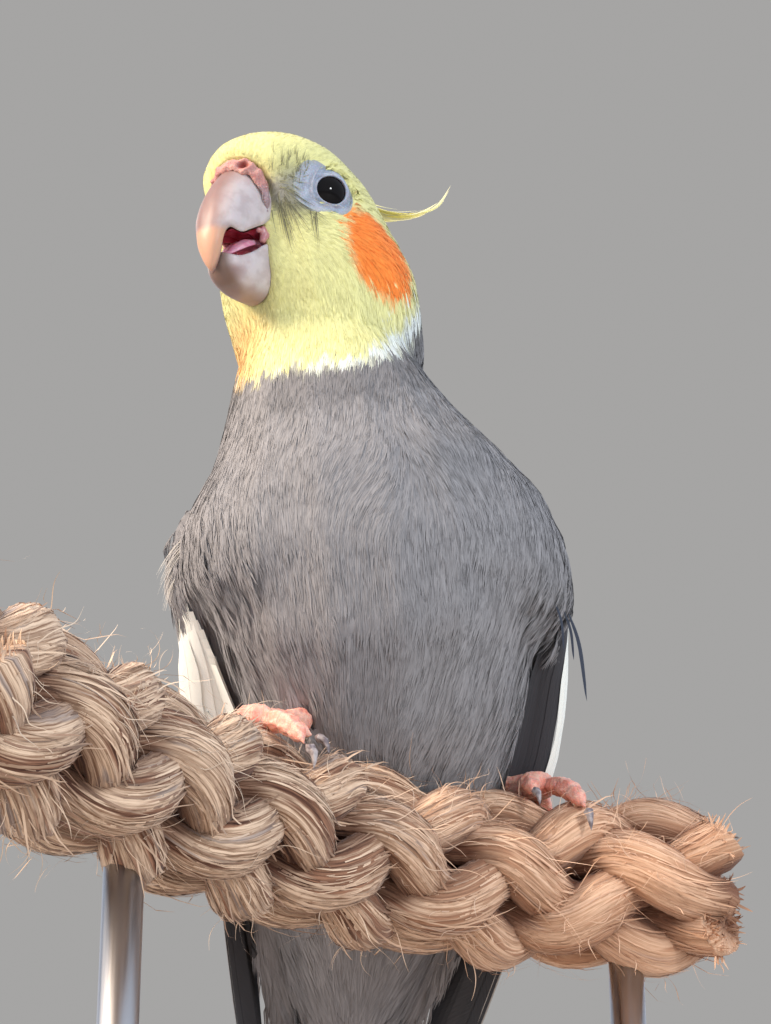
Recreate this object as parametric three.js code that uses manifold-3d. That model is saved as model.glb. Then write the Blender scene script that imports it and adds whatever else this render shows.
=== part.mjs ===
// A life-size cockatiel gripping a short cut length of plaited rope, held up by a plain display stand.
// Millimetres, +Z up. The origin is the middle of the base's underside, and the chest faces -Y.

import * as THREE from 'three';
import { mergeVertices } from 'three/addons/utils/BufferGeometryUtils.js';
import Module from 'manifold-3d';

const wasm = await Module();
wasm.setup();

// Driving dimensions
const gap = 0.3; // between pieces that touch
const baseRadius = 84;
const baseThickness = 14;
const rodRadius = 3;
const ferruleRadius = 6.5;
const ferruleHeight = 7;
const perchHeight = 165; // the rope's axis above the floor
const rope = { radius: 15, strand: 6.6, ring: 7.2, weave: 2, pitch: 62 }; // a round plait of four strands
const ropeCourse = [[-60, -90], [-43, -51], [-22, -14], [2, 12], [25, 26], [56, 29]]; // seen from above
const body = { x: 2.8, y: 7.5, yaw: 12 }; // a point on the perch between the feet, and where the chest faces
const head = { x: -17.6, y: 3.5, z: 119.4, yaw: -38.4, pitch: 4.5, roll: 2.5 }; // z above the perch's axis
const eye = { radius: 4.4, side: 9.2, forward: 1.6, up: -1 };

const radians = THREE.MathUtils.degToRad;
const vector = (x, y, z) => new THREE.Vector3(x, y, z);

function material(color, roughness, metalness = 0) {
  return new THREE.MeshStandardMaterial({ color, roughness, metalness });
}

const finish = {
  greyFeather: material('#7d7b80', 0.85),
  faceFeather: material('#ead985', 0.85),
  wingFeather: material('#4a484d', 0.7),
  darkFeather: material('#2c2b30', 0.6),
  tailFeather: material('#55565c', 0.7),
  horn: material('#cfc0bf', 0.4),
  cere: material('#dba9a0', 0.6),
  mouth: material('#a8505f', 0.4),
  eye: material('#0b0808', 0.05),
  foot: material('#c79a97', 0.6),
  claw: material('#6f6a68', 0.4),
  sisal: material('#c49a6c', 0.9),
  wood: material('#b98d5f', 0.5),
  steel: material('#b9bcc0', 0.3, 1),
};

// Shapes

// A closed skin over a sphere's grid. placeAt(around, along) gives each point, both from 0 to 1.
function skin(sides, steps, placeAt) {
  const geometry = new THREE.SphereGeometry(1, sides, steps);
  const { position, uv } = geometry.attributes;
  for (let i = 0; i < position.count; i++) {
    const along = Math.min(1, Math.max(0, 1 - uv.getY(i)));
    const step = Math.round(along * steps);
    const around = step === 0 || step === steps ? 0 : uv.getX(i) % 1;
    const p = placeAt(around, along);
    position.setXYZ(i, p.x, p.y, p.z);
  }
  return geometry;
}

// A body lofted along a smooth line. Each station is [x, y, z, half width, front depth, back depth].
// Its sections are level, or else square to the line, and grow makes it larger all round.
function loft(stations, sides, steps, { grow = 0, level = false } = {}) {
  const line = new THREE.CatmullRomCurve3(stations.map(s => vector(s[0], s[1], s[2])), false, 'centripetal');
  const sizes = new THREE.CatmullRomCurve3(stations.map(s => vector(s[3], s[4], s[5])), false, 'centripetal');
  return skin(sides, steps, (around, along) => {
    const end = along === 0 || along === 1;
    const t = 0.5 - 0.5 * Math.cos(Math.PI * along);
    const middle = line.getPoint(t);
    const tangent = line.getTangent(t);
    if (end) return middle.addScaledVector(tangent, along === 0 ? -grow : grow);
    const size = sizes.getPoint(t);
    const side = vector(1, 0, 0);
    if (!level) side.addScaledVector(tangent, -tangent.x).normalize();
    const back = level ? vector(0, 1, 0) : tangent.clone().cross(side).normalize();
    const angle = around * Math.PI * 2;
    const depth = Math.sin(angle) > 0 ? size.z : size.y;
    return middle
      .addScaledVector(side, Math.cos(angle) * (Math.max(size.x, 0) + grow))
      .addScaledVector(back, Math.sin(angle) * (Math.max(depth, 0) + grow));
  });
}

// An egg with its own reach each way: side, front (-Y), back (+Y), up and down
function egg(centre, size, sides = 24, steps = 16) {
  return skin(sides, steps, (around, along) => {
    const tilt = along * Math.PI;
    const turn = around * Math.PI * 2;
    const x = Math.sin(tilt) * Math.cos(turn);
    const y = Math.sin(tilt) * Math.sin(turn);
    const z = Math.cos(tilt);
    return vector(
      centre.x + x * size.side,
      centre.y + y * (y < 0 ? size.front : size.back),
      centre.z + z * (z > 0 ? size.up : size.down),
    );
  });
}

function grownBy(size, grow) {
  return Object.fromEntries(Object.entries(size).map(([way, reach]) => [way, reach + grow]));
}

// A round tube with closed ends. radiusAt(along) is its radius.
function tube(points, radiusAt, sides, steps, grow = 0) {
  const line = new THREE.CatmullRomCurve3(points, false, 'centripetal');
  const frames = line.computeFrenetFrames(steps, false);
  return skin(sides, steps, (around, along) => {
    const step = Math.round(along * steps);
    const end = step === 0 || step === steps;
    const angle = around * Math.PI * 2;
    const radius = end ? 0 : radiusAt(along) + grow;
    return line.getPoint(along)
      .addScaledVector(frames.normals[step], Math.cos(angle) * radius)
      .addScaledVector(frames.binormals[step], Math.sin(angle) * radius)
      .addScaledVector(frames.tangents[step], step === 0 ? -grow : step === steps ? grow : 0);
  });
}

// Solids

function solid(geometry, matrix = new THREE.Matrix4()) {
  const placed = geometry.clone().applyMatrix4(matrix);
  for (const name of Object.keys(placed.attributes)) {
    if (name !== 'position') placed.deleteAttribute(name);
  }
  const merged = mergeVertices(placed, 1e-4);
  const vertProperties = merged.attributes.position.array;
  const triVerts = new Uint32Array(merged.index.array);
  const made = new wasm.Manifold(new wasm.Mesh({ numProp: 3, vertProperties, triVerts }));
  if (made.volume() >= 0) return made;
  for (let i = 0; i < triVerts.length; i += 3) {
    [triVerts[i + 1], triVerts[i + 2]] = [triVerts[i + 2], triVerts[i + 1]];
  }
  return new wasm.Manifold(new wasm.Mesh({ numProp: 3, vertProperties, triVerts }));
}

// The largest piece of a solid, as a cut can leave a sliver behind
function largest(made) {
  return made.decompose().sort((a, b) => b.volume() - a.volume())[0];
}

// The half of space on the far side of a plane, as a large box
function beyond(point, normal, start = 0) {
  const reach = 400;
  const box = new THREE.BoxGeometry(reach, reach, reach).translate(0, 0, reach / 2 + start);
  const turn = new THREE.Quaternion().setFromUnitVectors(vector(0, 0, 1), normal.clone().normalize());
  return solid(box, new THREE.Matrix4().compose(point, turn, vector(1, 1, 1)));
}

function without(made, others) {
  return others.reduce((rest, other) => rest.subtract(other), made);
}

// Frames

function place(x, y, z, yaw, pitch = 0, roll = 0) {
  const turn = new THREE.Euler(radians(pitch), radians(roll), radians(yaw), 'ZXY');
  return new THREE.Matrix4().makeRotationFromEuler(turn).setPosition(x, y, z);
}

const bodyFrame = place(body.x, body.y, perchHeight, body.yaw);
const headFrame = place(head.x, head.y, perchHeight + head.z, head.yaw, head.pitch, head.roll);

// The perch: four strands plaited round, along a level curve

const ropeLine = new THREE.CatmullRomCurve3(ropeCourse.map(([x, y]) => vector(x, y, perchHeight)));
const ropeLength = ropeLine.getLength();

// The rope's axis at a length from its left end, with the directions towards the back and along it
function ropeAxis(length) {
  const at = THREE.MathUtils.clamp(length / ropeLength, 0, 1);
  const along = ropeLine.getTangentAt(at);
  return { middle: ropeLine.getPointAt(at), along, back: vector(-along.y, along.x, 0) };
}

// How far the plait's outside is from the axis, in one direction of its section. Two strands wind
// each way, and they pass over and under one another.
function ropeReach(direction, length) {
  const turn = (length / rope.pitch) * Math.PI * 2;
  let reach = rope.radius * 0.75;
  for (const hand of [1, -1]) {
    for (const start of [0, Math.PI]) {
      const distance = rope.ring + hand * rope.weave * Math.cos(2 * turn);
      const angle = direction - hand * turn - start;
      const off = distance * Math.sin(angle);
      const ahead = distance * Math.cos(angle);
      const over = ahead > 0 && Math.abs(off) < rope.strand;
      if (over) reach = Math.max(reach, ahead + Math.sqrt(rope.strand ** 2 - off ** 2));
    }
  }
  return reach;
}

const ropePerch = () => skin(12, 34, (around, along) => {
  const { middle, back } = ropeAxis(along * ropeLength);
  if (along === 0 || along === 1) return middle;
  const direction = around * Math.PI * 2;
  const reach = ropeReach(direction, along * ropeLength);
  return middle
    .addScaledVector(back, Math.cos(direction) * reach)
    .add(vector(0, 0, Math.sin(direction) * reach));
});

// The bird's feathered body, modelled whole: [x, y, z, half width, front, back] in the body's frame

const trunkStations = [
  [0.5, 58.3, -32, 0, 0, 0],
  [0.5, 51.7, -22.6, 8.9, 4.7, 6.6],
  [0.5, 43.2, -9.4, 14.1, 8.9, 11.3],
  [0.9, 33.8, 5.6, 19.3, 13.2, 16],
  [1.4, 23.5, 18.8, 22.6, 18.8, 18.8],
  [-0.5, 13.2, 32, 26.5, 23.5, 21.6],
  [-3.8, 6.6, 44.2, 29.5, 26.8, 22.6],
  [-5.6, 3.9, 54.5, 30.8, 26.3, 21.6],
  [-8.1, 2.5, 64.9, 29.2, 24, 22],
  [-11.3, 3, 77.1, 22, 19.2, 23],
  [-13.4, 4.5, 88, 17, 15.5, 23],
  [-14.4, 5.5, 97, 13, 12, 17],
  [-15, 6, 104, 0, 0, 0],
];

// The fluffed breast, whose side feathers hang over the front of the wings
const breastCentre = vector(-4.3, 1, 51);
const breastSize = { side: 35.4, front: 22, back: 14, up: 30, down: 19 };

// The head and neck, level sections in the head's frame
const headStations = [
  [0, -4.5, 11.8, 0, 0, 0],
  [0, -4.3, 10.9, 6.3, 6.5, 6.5],
  [0, -3, 9.2, 9.5, 11.3, 7.5],
  [0, -1.5, 7.4, 11.6, 15, 10],
  [0, 0.5, 4, 12.9, 17.6, 15.6],
  [0, 3, 0.5, 13.4, 19.8, 17.8],
  [0, 5, -4, 14.6, 19.6, 18.8],
  [0, 6, -8, 16, 18.8, 19.2],
  [0, 7.5, -14, 17.2, 19.6, 19.4],
  [0, 9, -20, 17.4, 19.8, 19.6],
  [0, 10.5, -27, 17.3, 17.4, 20],
  [0, 12, -33, 15, 14, 17],
  [0, 13, -38, 0, 0, 0],
];

const coreShape = grow => solid(loft(trunkStations, 16, 18, { grow }), bodyFrame);
const breastShape = grow => solid(egg(breastCentre, grownBy(breastSize, grow), 16, 9), bodyFrame);
const core = coreShape(0);
const coreGrown = coreShape(gap);
const breast = breastShape(0);
const breastGrown = breastShape(gap);
const skull = solid(loft(headStations, 14, 15, { level: true }), headFrame);
const chest = core.add(breast);
const whole = chest.add(skull);

function eyeCentre(side) {
  return vector(side * eye.side, -eye.forward, eye.up);
}
function eyeBall(side, grow = 0) {
  const ball = new THREE.SphereGeometry(eye.radius + grow, 10, 8);
  return solid(ball.translate(...eyeCentre(side).toArray()), headFrame);
}

// Bill, in the head's frame: the hooked upper half, the scoop of the lower half and the tongue between

const upperBill = grow => solid(loft([
  [0, -10.5, -1.5, 0, 0, 0],
  [0, -11.5, -2, 4.4, 4.2, 4.2],
  [0, -14.7, -3.9, 5, 5.3, 5.3],
  [0, -18.7, -8.3, 4.7, 3.9, 3.7],
  [0, -20.5, -11.5, 3.8, 2.2, 2.2],
  [0, -21.3, -14.6, 2.6, 1.4, 1.4],
  [0, -20.9, -17, 1.6, 1, 1],
  [0, -20.3, -19.2, 0, 0, 0],
], 10, 9, { grow }), headFrame);

const scoopSize = { side: 4.9, front: 6.7, back: 6, up: 4, down: 7.4 };
const rimAt = vector(0, -13.6, -14);
const rimNormal = vector(0, -0.57, 0.82);

function lowerBill(grow) {
  const scoop = solid(egg({ x: 0, y: -13, z: -15.5 }, grownBy(scoopSize, grow), 12, 8), headFrame);
  const turned = rimNormal.clone().transformDirection(headFrame);
  return scoop.subtract(beyond(rimAt.clone().applyMatrix4(headFrame), turned, grow));
}

const tongueShape = grow => solid(loft([
  [0, -6, -10, 0, 0, 0],
  [0, -8, -10.8, 3, 2.2, 1.8],
  [0, -12.5, -13, 2.9, 2.2, 1.8],
  [0, -16, -15.4, 2.3, 1.6, 1.4],
  [0, -17.4, -16.4, 0, 0, 0],
], 10, 8, { grow }), headFrame);

const mouthSize = { side: 4.3, front: 4, back: 5, up: 3.2, down: 3.2 };
const mouthHollow = solid(egg({ x: 0, y: -10.5, z: -11.8 }, mouthSize, 8, 6), headFrame);

const cereShape = grow => solid(tube([
  vector(-5.2, -11.6, -7), vector(-5.3, -12.8, -3.6), vector(-3.6, -14.3, 0.4), vector(0, -15.6, 1.6),
  vector(3.6, -14.3, 0.4), vector(5.3, -12.8, -3.6), vector(5.2, -11.6, -7),
], t => 1 + 1.1 * Math.sin(Math.PI * t), 6, 10, grow), headFrame);
const nostrils = [-1, 1].map(side =>
  solid(new THREE.SphereGeometry(0.75, 6, 4).translate(side * 3.1, -15.7, 1.3), headFrame));

// Crest: long feathers laid back along the crown, with tips that sweep up behind the head
const crestShape = grow => solid(loft([
  [0, -8, 11, 0, 0, 0],
  [0, -3, 11.9, 3.2, 0.8, 0.8],
  [0, 5, 10.2, 3.6, 1.2, 1.2],
  [0, 14, 7.6, 3.2, 1.3, 1.3],
  [0.5, 21.5, 6.6, 2.4, 1.1, 1.1],
  [1, 28.8, 7.5, 1.8, 0.9, 0.9],
  [1.5, 35, 9.3, 1.3, 0.7, 0.7],
  [2, 39.5, 11.4, 1, 0.6, 0.6],
  [2.5, 42.8, 14, 0.8, 0.5, 0.5],
  [3, 45.8, 18.4, 0, 0, 0],
], 6, 14, { grow }), headFrame);

// Wings, folded against the flanks, in the body's frame

const wingThickness = 5;
const wingSpan = [4, 64]; // how far out from the middle of the body a wing's outline is filled
const wingEdge = [ // the folded wing's outline seen from the side, as [y, z]
  [2, 49], [7, 58.5], [15, 67], [24, 60], [39, 34.5], [52.5, 8], [59.5, -11], [63, -30],
  [60, -31], [46, -14], [32, 4], [20, 20], [10, 34], [3.5, 41], [1.5, 45],
];
const wingCover = coreShape(wingThickness);

// Everything on one side of the body within the wing's outline
function wingBand(side) {
  const outline = new THREE.Shape(new THREE.SplineCurve(
    [...wingEdge, wingEdge[0]].map(([y, z]) => new THREE.Vector2(y, z))).getPoints(22).slice(0, -1));
  const [inner, outer] = wingSpan;
  const band = new THREE.ExtrudeGeometry(outline, { depth: outer - inner, bevelEnabled: false });
  const turn = new THREE.Matrix4().makeBasis(vector(0, 1, 0), vector(0, 0, 1), vector(1, 0, 0));
  band.applyMatrix4(turn).translate(side > 0 ? inner : -outer, 0, 0);
  return solid(band, bodyFrame);
}

// The long flight feathers of one side, from under the coverts to the wing's tip
const bladeStations = [
  [27, 25, 18, 0, 0, 0],
  [26.5, 29, 12, 2, 7, 8],
  [24.5, 38, 1, 2, 8, 10],
  [21.5, 48, -13, 1.8, 7.5, 9],
  [17, 59, -29, 1.5, 6, 7],
  [12, 71, -47, 1.2, 4.5, 4.5],
  [9, 82.5, -64, 0.9, 2.6, 2.4],
  [8, 88, -72, 0, 0, 0],
];
const bladeLean = 0.55; // how far it leans in over the back, for each mm across it
const bladeAcross = { y: 0.845, z: 0.54, middle: 32.6 }; // from its front edge to its back edge

function leaning(side) {
  const lean = side * bladeLean;
  const { y, z, middle } = bladeAcross;
  return new THREE.Matrix4().set(
    1, -lean * y, -lean * z, lean * middle,
    0, 1, 0, 0,
    0, 0, 1, 0,
    0, 0, 0, 1);
}

const bladeShape = (side, grow) => solid(
  loft(bladeStations.map(([x, y, z, ...size]) => [side * x + 1.5, y, z, ...size]), 10, 12, { grow }),
  bodyFrame.clone().multiply(leaning(side)));

// Tail: the long stepped feathers as one pointed blade
const tailAngle = 58; // below level
const tailLength = 144; // from under the coverts to the tip
function tailShape(grow) {
  const along = vector(0, Math.cos(radians(tailAngle)), -Math.sin(radians(tailAngle)));
  const start = vector(0.5, 49, -17);
  const stations = [
    [0, 0, 0, 0], [0.05, 10, 2.4, 2.6], [0.3, 12.5, 2, 2.2], [0.55, 11.5, 1.5, 1.7],
    [0.75, 8.5, 1.1, 1.2], [0.9, 5, 0.8, 0.9], [1, 0, 0, 0],
  ].map(([t, ...size]) => [...start.clone().addScaledVector(along, t * tailLength).toArray(), ...size]);
  return solid(loft(stations, 12, 10, { grow }), bodyFrame);
}

// Legs: a feathered thigh, and the shank with two toes each way round the rope

const feet = { // at is the length along the rope
  left: { at: 149, side: 1, heel: vector(18, 32, 184), hip: vector(11, 25.5, 204) },
  right: { at: 87, side: -1, heel: vector(-12, 6, 188), hip: vector(-10, 18, 209) },
};
const footLift = rope.radius + 1.6; // from the rope's axis to the middle of a toe
const ankleLift = footLift + 0.6;
// Each toe's name, its start and splay along the rope, its reach round the rope in radians, and its thickness
const toes = [
  ['front_inner', -2.2, -3, 0.6, 1.8],
  ['front_outer', 2.6, 3.5, 0.92, 2],
  ['back_inner', -2.2, -3.5, -0.78, 1.7],
  ['back_outer', 2.2, 4.5, -1.02, 1.8],
];
const clawTurn = 0.3; // how far round the rope a claw reaches beyond its toe

// A point over the rope near a foot: round is the angle from the top, towards the front
function overRope(foot, shift, round, lift) {
  const { middle, back } = ropeAxis(foot.at + shift);
  return middle.addScaledVector(back, -Math.sin(round) * lift).add(vector(0, 0, Math.cos(round) * lift));
}

function toeShape(foot, [, start, splay, reach, thick], grow) {
  const points = [0, 0.34, 0.67, 1].map(t =>
    overRope(foot, start * 0.4 + (start * 0.6 + splay) * t * foot.side, reach * t, footLift + (1 - t) * 0.6));
  return tube(points, t => thick * (1 + 0.16 * Math.cos(t * 4 * Math.PI) - 0.12 * t), 5, 5, grow);
}

function clawShape(foot, [, start, splay, reach, thick], grow) {
  const way = Math.sign(reach);
  const shift = start * 0.4 + (start * 0.6 + splay) * foot.side;
  const points = [0, 0.5, 1].map(t => {
    const lift = footLift + 0.9 * Math.sin(Math.PI * t) - 0.6 * t;
    return overRope(foot, shift * (1 + 0.06 * t), reach + way * clawTurn * t, lift);
  });
  return tube(points, t => thick * 0.62 * (1 - t * 0.86), 5, 4, grow);
}

function shankShape(foot, grow) {
  const pad = overRope(foot, 0, 0, ankleLift);
  const middle = pad.clone().lerp(foot.heel, 0.5);
  return tube([pad, middle, foot.heel], t => 2.3 + 0.5 * Math.cos(t * 2 * Math.PI), 7, 4, grow);
}

function palmShape(foot, grow) {
  const size = grownBy({ side: 4, front: 3.6, back: 3.6, up: 2.8, down: 2.4 }, grow);
  return egg(overRope(foot, 0, 0, ankleLift), size, 8, 5);
}

function thighShape(foot, grow) {
  const pad = foot.heel.clone();
  const hip = foot.hip.clone();
  const middle = pad.clone().lerp(hip, 0.5);
  const tilt = new THREE.Quaternion().setFromUnitVectors(vector(0, 0, 1), hip.clone().sub(pad).normalize());
  const size = grownBy({ side: 7, front: 8, back: 7.5, up: 15, down: 15 }, grow);
  const form = egg({ x: 0, y: 0, z: 0 }, size, 10, 8);
  return solid(form, new THREE.Matrix4().compose(middle, tilt, vector(1, 1, 1)));
}

// The stand

const rods = { left: 54, right: 164 }; // where each stands, along the rope
const rodEnd = 5.5; // below the rope's axis, well inside its underside

function rodShape(at, grow) {
  const { middle } = ropeAxis(at);
  const bottom = baseThickness + (grow ? 0 : gap);
  const top = perchHeight - rodEnd;
  return new THREE.CylinderGeometry(rodRadius + grow, rodRadius + grow, top - bottom + grow, 12)
    .rotateX(Math.PI / 2)
    .translate(middle.x, middle.y, (top + bottom + grow) / 2);
}

function ferruleShape(at) {
  const { middle } = ropeAxis(at);
  const bore = rodRadius + gap;
  const profile = [
    [bore, 0], [ferruleRadius, 0], [ferruleRadius, ferruleHeight - 3],
    [ferruleRadius - 2.2, ferruleHeight], [bore, ferruleHeight], [bore, 0],
  ].map(([r, z]) => new THREE.Vector2(r, z));
  return new THREE.LatheGeometry(profile, 12)
    .rotateX(Math.PI / 2)
    .translate(middle.x, middle.y, baseThickness + gap);
}

function baseShape() {
  const edge = 2.5;
  const profile = [
    [0, 0], [baseRadius - 1, 0], [baseRadius, 1], [baseRadius, baseThickness - edge],
    [baseRadius - edge, baseThickness], [0, baseThickness],
  ].map(([r, z]) => new THREE.Vector2(r, z));
  return new THREE.LatheGeometry(profile, 30).rotateX(Math.PI / 2);
}

// Cutting the whole into its parts

const parts = [];
function add(name, made, look) {
  parts.push({ name, made: largest(made), look });
}

// The two sides of a flat cut, with a gap between them
function cutAt(frame, point, normal) {
  const at = point.applyMatrix4(frame);
  const way = normal.transformDirection(frame);
  return { above: beyond(at, way, gap / 2), below: beyond(at, way.clone().negate(), gap / 2) };
}

const throat = cutAt(headFrame, vector(0, -11, -24.5), vector(0, -0.41, 0.91));
const collar = cutAt(bodyFrame, vector(-12, 0, 80), vector(0, -0.1, 1));
const rump = cutAt(bodyFrame, vector(0, 46, -14), vector(0, -0.53, 0.85));

const footList = Object.values(feet);
const sides = [['left', 1], ['right', -1]];
const ropeSolid = solid(ropePerch());
const toeSolids = (foot, grow) => toes.map(toe => solid(toeShape(foot, toe, grow)));
const clawSolids = (foot, grow) => toes.map(toe => solid(clawShape(foot, toe, grow)));
const shank = (foot, grow) => solid(shankShape(foot, grow)).add(solid(palmShape(foot, grow)));

const tailGrown = tailShape(gap);
const thighsGrown = footList.map(foot => thighShape(foot, gap));
const feetGrown = footList.flatMap(foot =>
  [shank(foot, gap), ...toeSolids(foot, gap), ...clawSolids(foot, gap)]);
const setInHead = [eyeBall(1, gap), eyeBall(-1, gap), upperBill(gap), lowerBill(gap), tongueShape(gap),
  mouthHollow, cereShape(gap), crestShape(gap)];

add('head', without(whole.intersect(throat.above), setInHead), finish.faceFeather);
add('neck', whole.intersect(throat.below).intersect(collar.above), finish.greyFeather);
add('trunk', without(chest.intersect(collar.below).intersect(rump.above), [...feetGrown, ...thighsGrown]),
  finish.greyFeather);
add('tail_coverts', without(chest.intersect(rump.below), [tailGrown]), finish.greyFeather);
add('tail', tailShape(0), finish.tailFeather);
add('bill_upper', upperBill(0), finish.horn);
add('bill_lower', lowerBill(0).subtract(upperBill(gap)), finish.horn);
add('tongue', without(tongueShape(0), [upperBill(gap), lowerBill(gap)]), finish.mouth);
add('cere', without(cereShape(0), [upperBill(gap), ...nostrils]), finish.cere);
add('crest', crestShape(0), finish.faceFeather);

for (const [name, side] of sides) {
  const foot = feet[name];
  const inside = [coreGrown, breastGrown, tailGrown, ...thighsGrown, ...feetGrown];
  const cover = wingCover.intersect(wingBand(side));
  add(`eye_${name}`, eyeBall(side), finish.eye);
  add(`wing_${name}`, without(cover, inside), finish.wingFeather);
  add(`primaries_${name}`, without(bladeShape(side, 0), [...inside, cover]), finish.darkFeather);
  add(`thigh_${name}`, without(thighShape(foot, 0), [ropeSolid, shank(foot, gap), ...toeSolids(foot, gap)]),
    finish.greyFeather);
  const toesAndShank = toeSolids(foot, 0).reduce((all, toe) => all.add(toe), shank(foot, 0));
  add(`foot_${name}`, without(toesAndShank, clawSolids(foot, gap)), finish.foot);
  clawSolids(foot, 0).forEach((claw, i) => add(`claw_${name}_${toes[i][0]}`, claw, finish.claw));
}

const rodCuts = Object.values(rods).map(at => solid(rodShape(at, gap)));
add('rope_perch', without(ropeSolid, [...feetGrown, ...rodCuts, ...thighsGrown, coreGrown, tailGrown,
  bladeShape(1, gap), bladeShape(-1, gap)]), finish.sisal);
for (const [name, at] of Object.entries(rods)) {
  add(`stand_rod_${name}`, solid(rodShape(at, 0)), finish.steel);
  add(`stand_ferrule_${name}`, solid(ferruleShape(at)), finish.steel);
}
add('stand_base', solid(baseShape()), finish.wood);

// The scene graph

function meshOf({ name, made, look }) {
  const { vertProperties, triVerts, numProp, numVert } = made.getMesh();
  const position = new Float32Array(numVert * 3);
  for (let i = 0; i < numVert; i++) {
    position.set(vertProperties.subarray(i * numProp, i * numProp + 3), i * 3);
  }
  const geometry = new THREE.BufferGeometry();
  geometry.setAttribute('position', new THREE.BufferAttribute(position, 3));
  geometry.setIndex(new THREE.BufferAttribute(new Uint32Array(triVerts), 1));
  geometry.computeVertexNormals();
  const mesh = new THREE.Mesh(geometry, look);
  mesh.name = name;
  return mesh;
}

const cockatiel = new THREE.Group();
for (const part of parts) cockatiel.add(meshOf(part));

export default cockatiel;
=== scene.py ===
import math

import bmesh
import bpy
import numpy as np
from mathutils import Matrix, Vector
from mathutils.bvhtree import BVHTree


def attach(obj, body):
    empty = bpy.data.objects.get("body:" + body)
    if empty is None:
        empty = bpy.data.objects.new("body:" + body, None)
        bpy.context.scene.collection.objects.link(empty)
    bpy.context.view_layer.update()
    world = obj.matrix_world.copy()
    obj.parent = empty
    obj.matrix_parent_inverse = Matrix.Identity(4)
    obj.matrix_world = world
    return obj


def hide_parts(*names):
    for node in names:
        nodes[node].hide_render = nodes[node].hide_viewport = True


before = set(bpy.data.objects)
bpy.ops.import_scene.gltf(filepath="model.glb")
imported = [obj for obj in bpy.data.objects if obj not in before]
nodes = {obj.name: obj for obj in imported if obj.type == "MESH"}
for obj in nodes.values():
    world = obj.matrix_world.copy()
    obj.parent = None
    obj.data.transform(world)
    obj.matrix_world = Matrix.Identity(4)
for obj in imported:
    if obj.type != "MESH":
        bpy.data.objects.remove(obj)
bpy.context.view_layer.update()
print("frame loaded,", len(nodes), "nodes")

# Shapes are worked out in millimetres and become metres when a mesh is made.
mm = 0.001
draws = np.random.default_rng(11)
sides = ((1, "left"), (-1, "right"))

pose = {
    "bodyAt": (2.8, 7.5, 165),  # on the rope's axis, between the feet
    "bodyYaw": 12,
    "headAt": (-17.6, 3.5, 284.4),
    "headYaw": -38.4,
    "headPitch": 4.5,
    "headRoll": 2.5,
}


# Small sums

def turnAbout(axis, degrees):
    return np.array(Matrix.Rotation(math.radians(degrees), 3, axis))


def unit(v):
    return v / np.maximum(np.linalg.norm(v, axis=-1, keepdims=True), 1e-9)


def ease(low, high, x):
    t = np.clip((np.asarray(x, float) - low) / (high - low), 0, 1)
    return t * t * (3 - 2 * t)


def between(a, b, t):
    return a + (b - a) * t


def dot(a, b):
    return (a * b).sum(-1, keepdims=True)


def steps(x, pairs):
    # a value that runs straight between the given pairs of (x, value)
    return np.interp(x, [p[0] for p in pairs], [p[1] for p in pairs])


def circle(count):
    # evenly spaced angles, all the way round
    return np.linspace(0, 2 * math.pi, count, endpoint=False)


def smoothed(values):
    # each row drawn half way to its neighbours, with the first and last rows kept
    return np.concatenate([values[:1], (values[:-2] + 2 * values[1:-1] + values[2:]) / 4, values[-1:]])


def alongLine(at, known, line):
    # places on a line of points, whose own lengths are known
    return np.stack([np.interp(at, known, line[:, i]) for i in range(3)], -1)


def ripple(points, size, seed):
    # smooth noise of about -1 to 1, whose swells are about size across
    waves = np.random.default_rng(seed)
    total = np.zeros(np.shape(points)[:-1])
    for _ in range(6):
        way = unit(waves.normal(size=3)) * waves.uniform(0.6, 1.6) * 2 * math.pi / size
        total += np.sin(points @ way + waves.uniform(0, 2 * math.pi))
    return total / 3.2


def ripples(points, layers):
    # ripples of several sizes, as size, seed and height
    return sum(ripple(points, size, seed) * height for size, seed, height in layers)


def curveThrough(points, count):
    # a Catmull-Rom curve through the points, in any number of columns
    points = np.asarray(points, float)
    ends = np.vstack([2 * points[0] - points[1], points, 2 * points[-1] - points[-2]])
    t = np.linspace(0, len(points) - 1, count)
    i = np.minimum(t.astype(int), len(points) - 2)
    f = (t - i)[:, None]
    a, b, c, d = ends[i], ends[i + 1], ends[i + 2], ends[i + 3]
    return 0.5 * (2 * b + (c - a) * f + (2 * a - 5 * b + 4 * c - d) * f ** 2
                  + (3 * b - a - 3 * c + d) * f ** 3)


headTurn = (turnAbout("Z", pose["headYaw"]) @ turnAbout("X", pose["headPitch"])
            @ turnAbout("Y", pose["headRoll"]))
bodyTurn = turnAbout("Z", pose["bodyYaw"])
headAt = np.array(pose["headAt"])
bodyAt = np.array(pose["bodyAt"])


def fromHead(points):
    return np.asarray(points, float) @ headTurn.T + headAt


def toHead(points):
    return (points - headAt) @ headTurn


def fromBody(points):
    return np.asarray(points, float) @ bodyTurn.T + bodyAt


def toBody(points):
    return (points - bodyAt) @ bodyTurn


# Meshes

def meshObject(name, points, quads=(), triangles=()):
    quads = np.asarray(quads, np.int32).reshape(-1, 4)
    triangles = np.asarray(triangles, np.int32).reshape(-1, 3)
    corners = np.concatenate([quads.ravel(), triangles.ravel()])
    sizes = np.concatenate([np.full(len(quads), 4), np.full(len(triangles), 3)]).astype(np.int32)
    mesh = bpy.data.meshes.new(name)
    mesh.vertices.add(len(points))
    mesh.vertices.foreach_set("co", (np.asarray(points, float) * mm).astype(np.float32).ravel())
    mesh.loops.add(len(corners))
    mesh.loops.foreach_set("vertex_index", corners)
    mesh.polygons.add(len(sizes))
    mesh.polygons.foreach_set("loop_start", (np.cumsum(sizes) - sizes).astype(np.int32))
    mesh.polygons.foreach_set("use_smooth", np.ones(len(sizes), bool))
    mesh.update(calc_edges=True)
    made = bpy.data.objects.new(name, mesh)
    bpy.context.scene.collection.objects.link(made)
    return made


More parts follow.
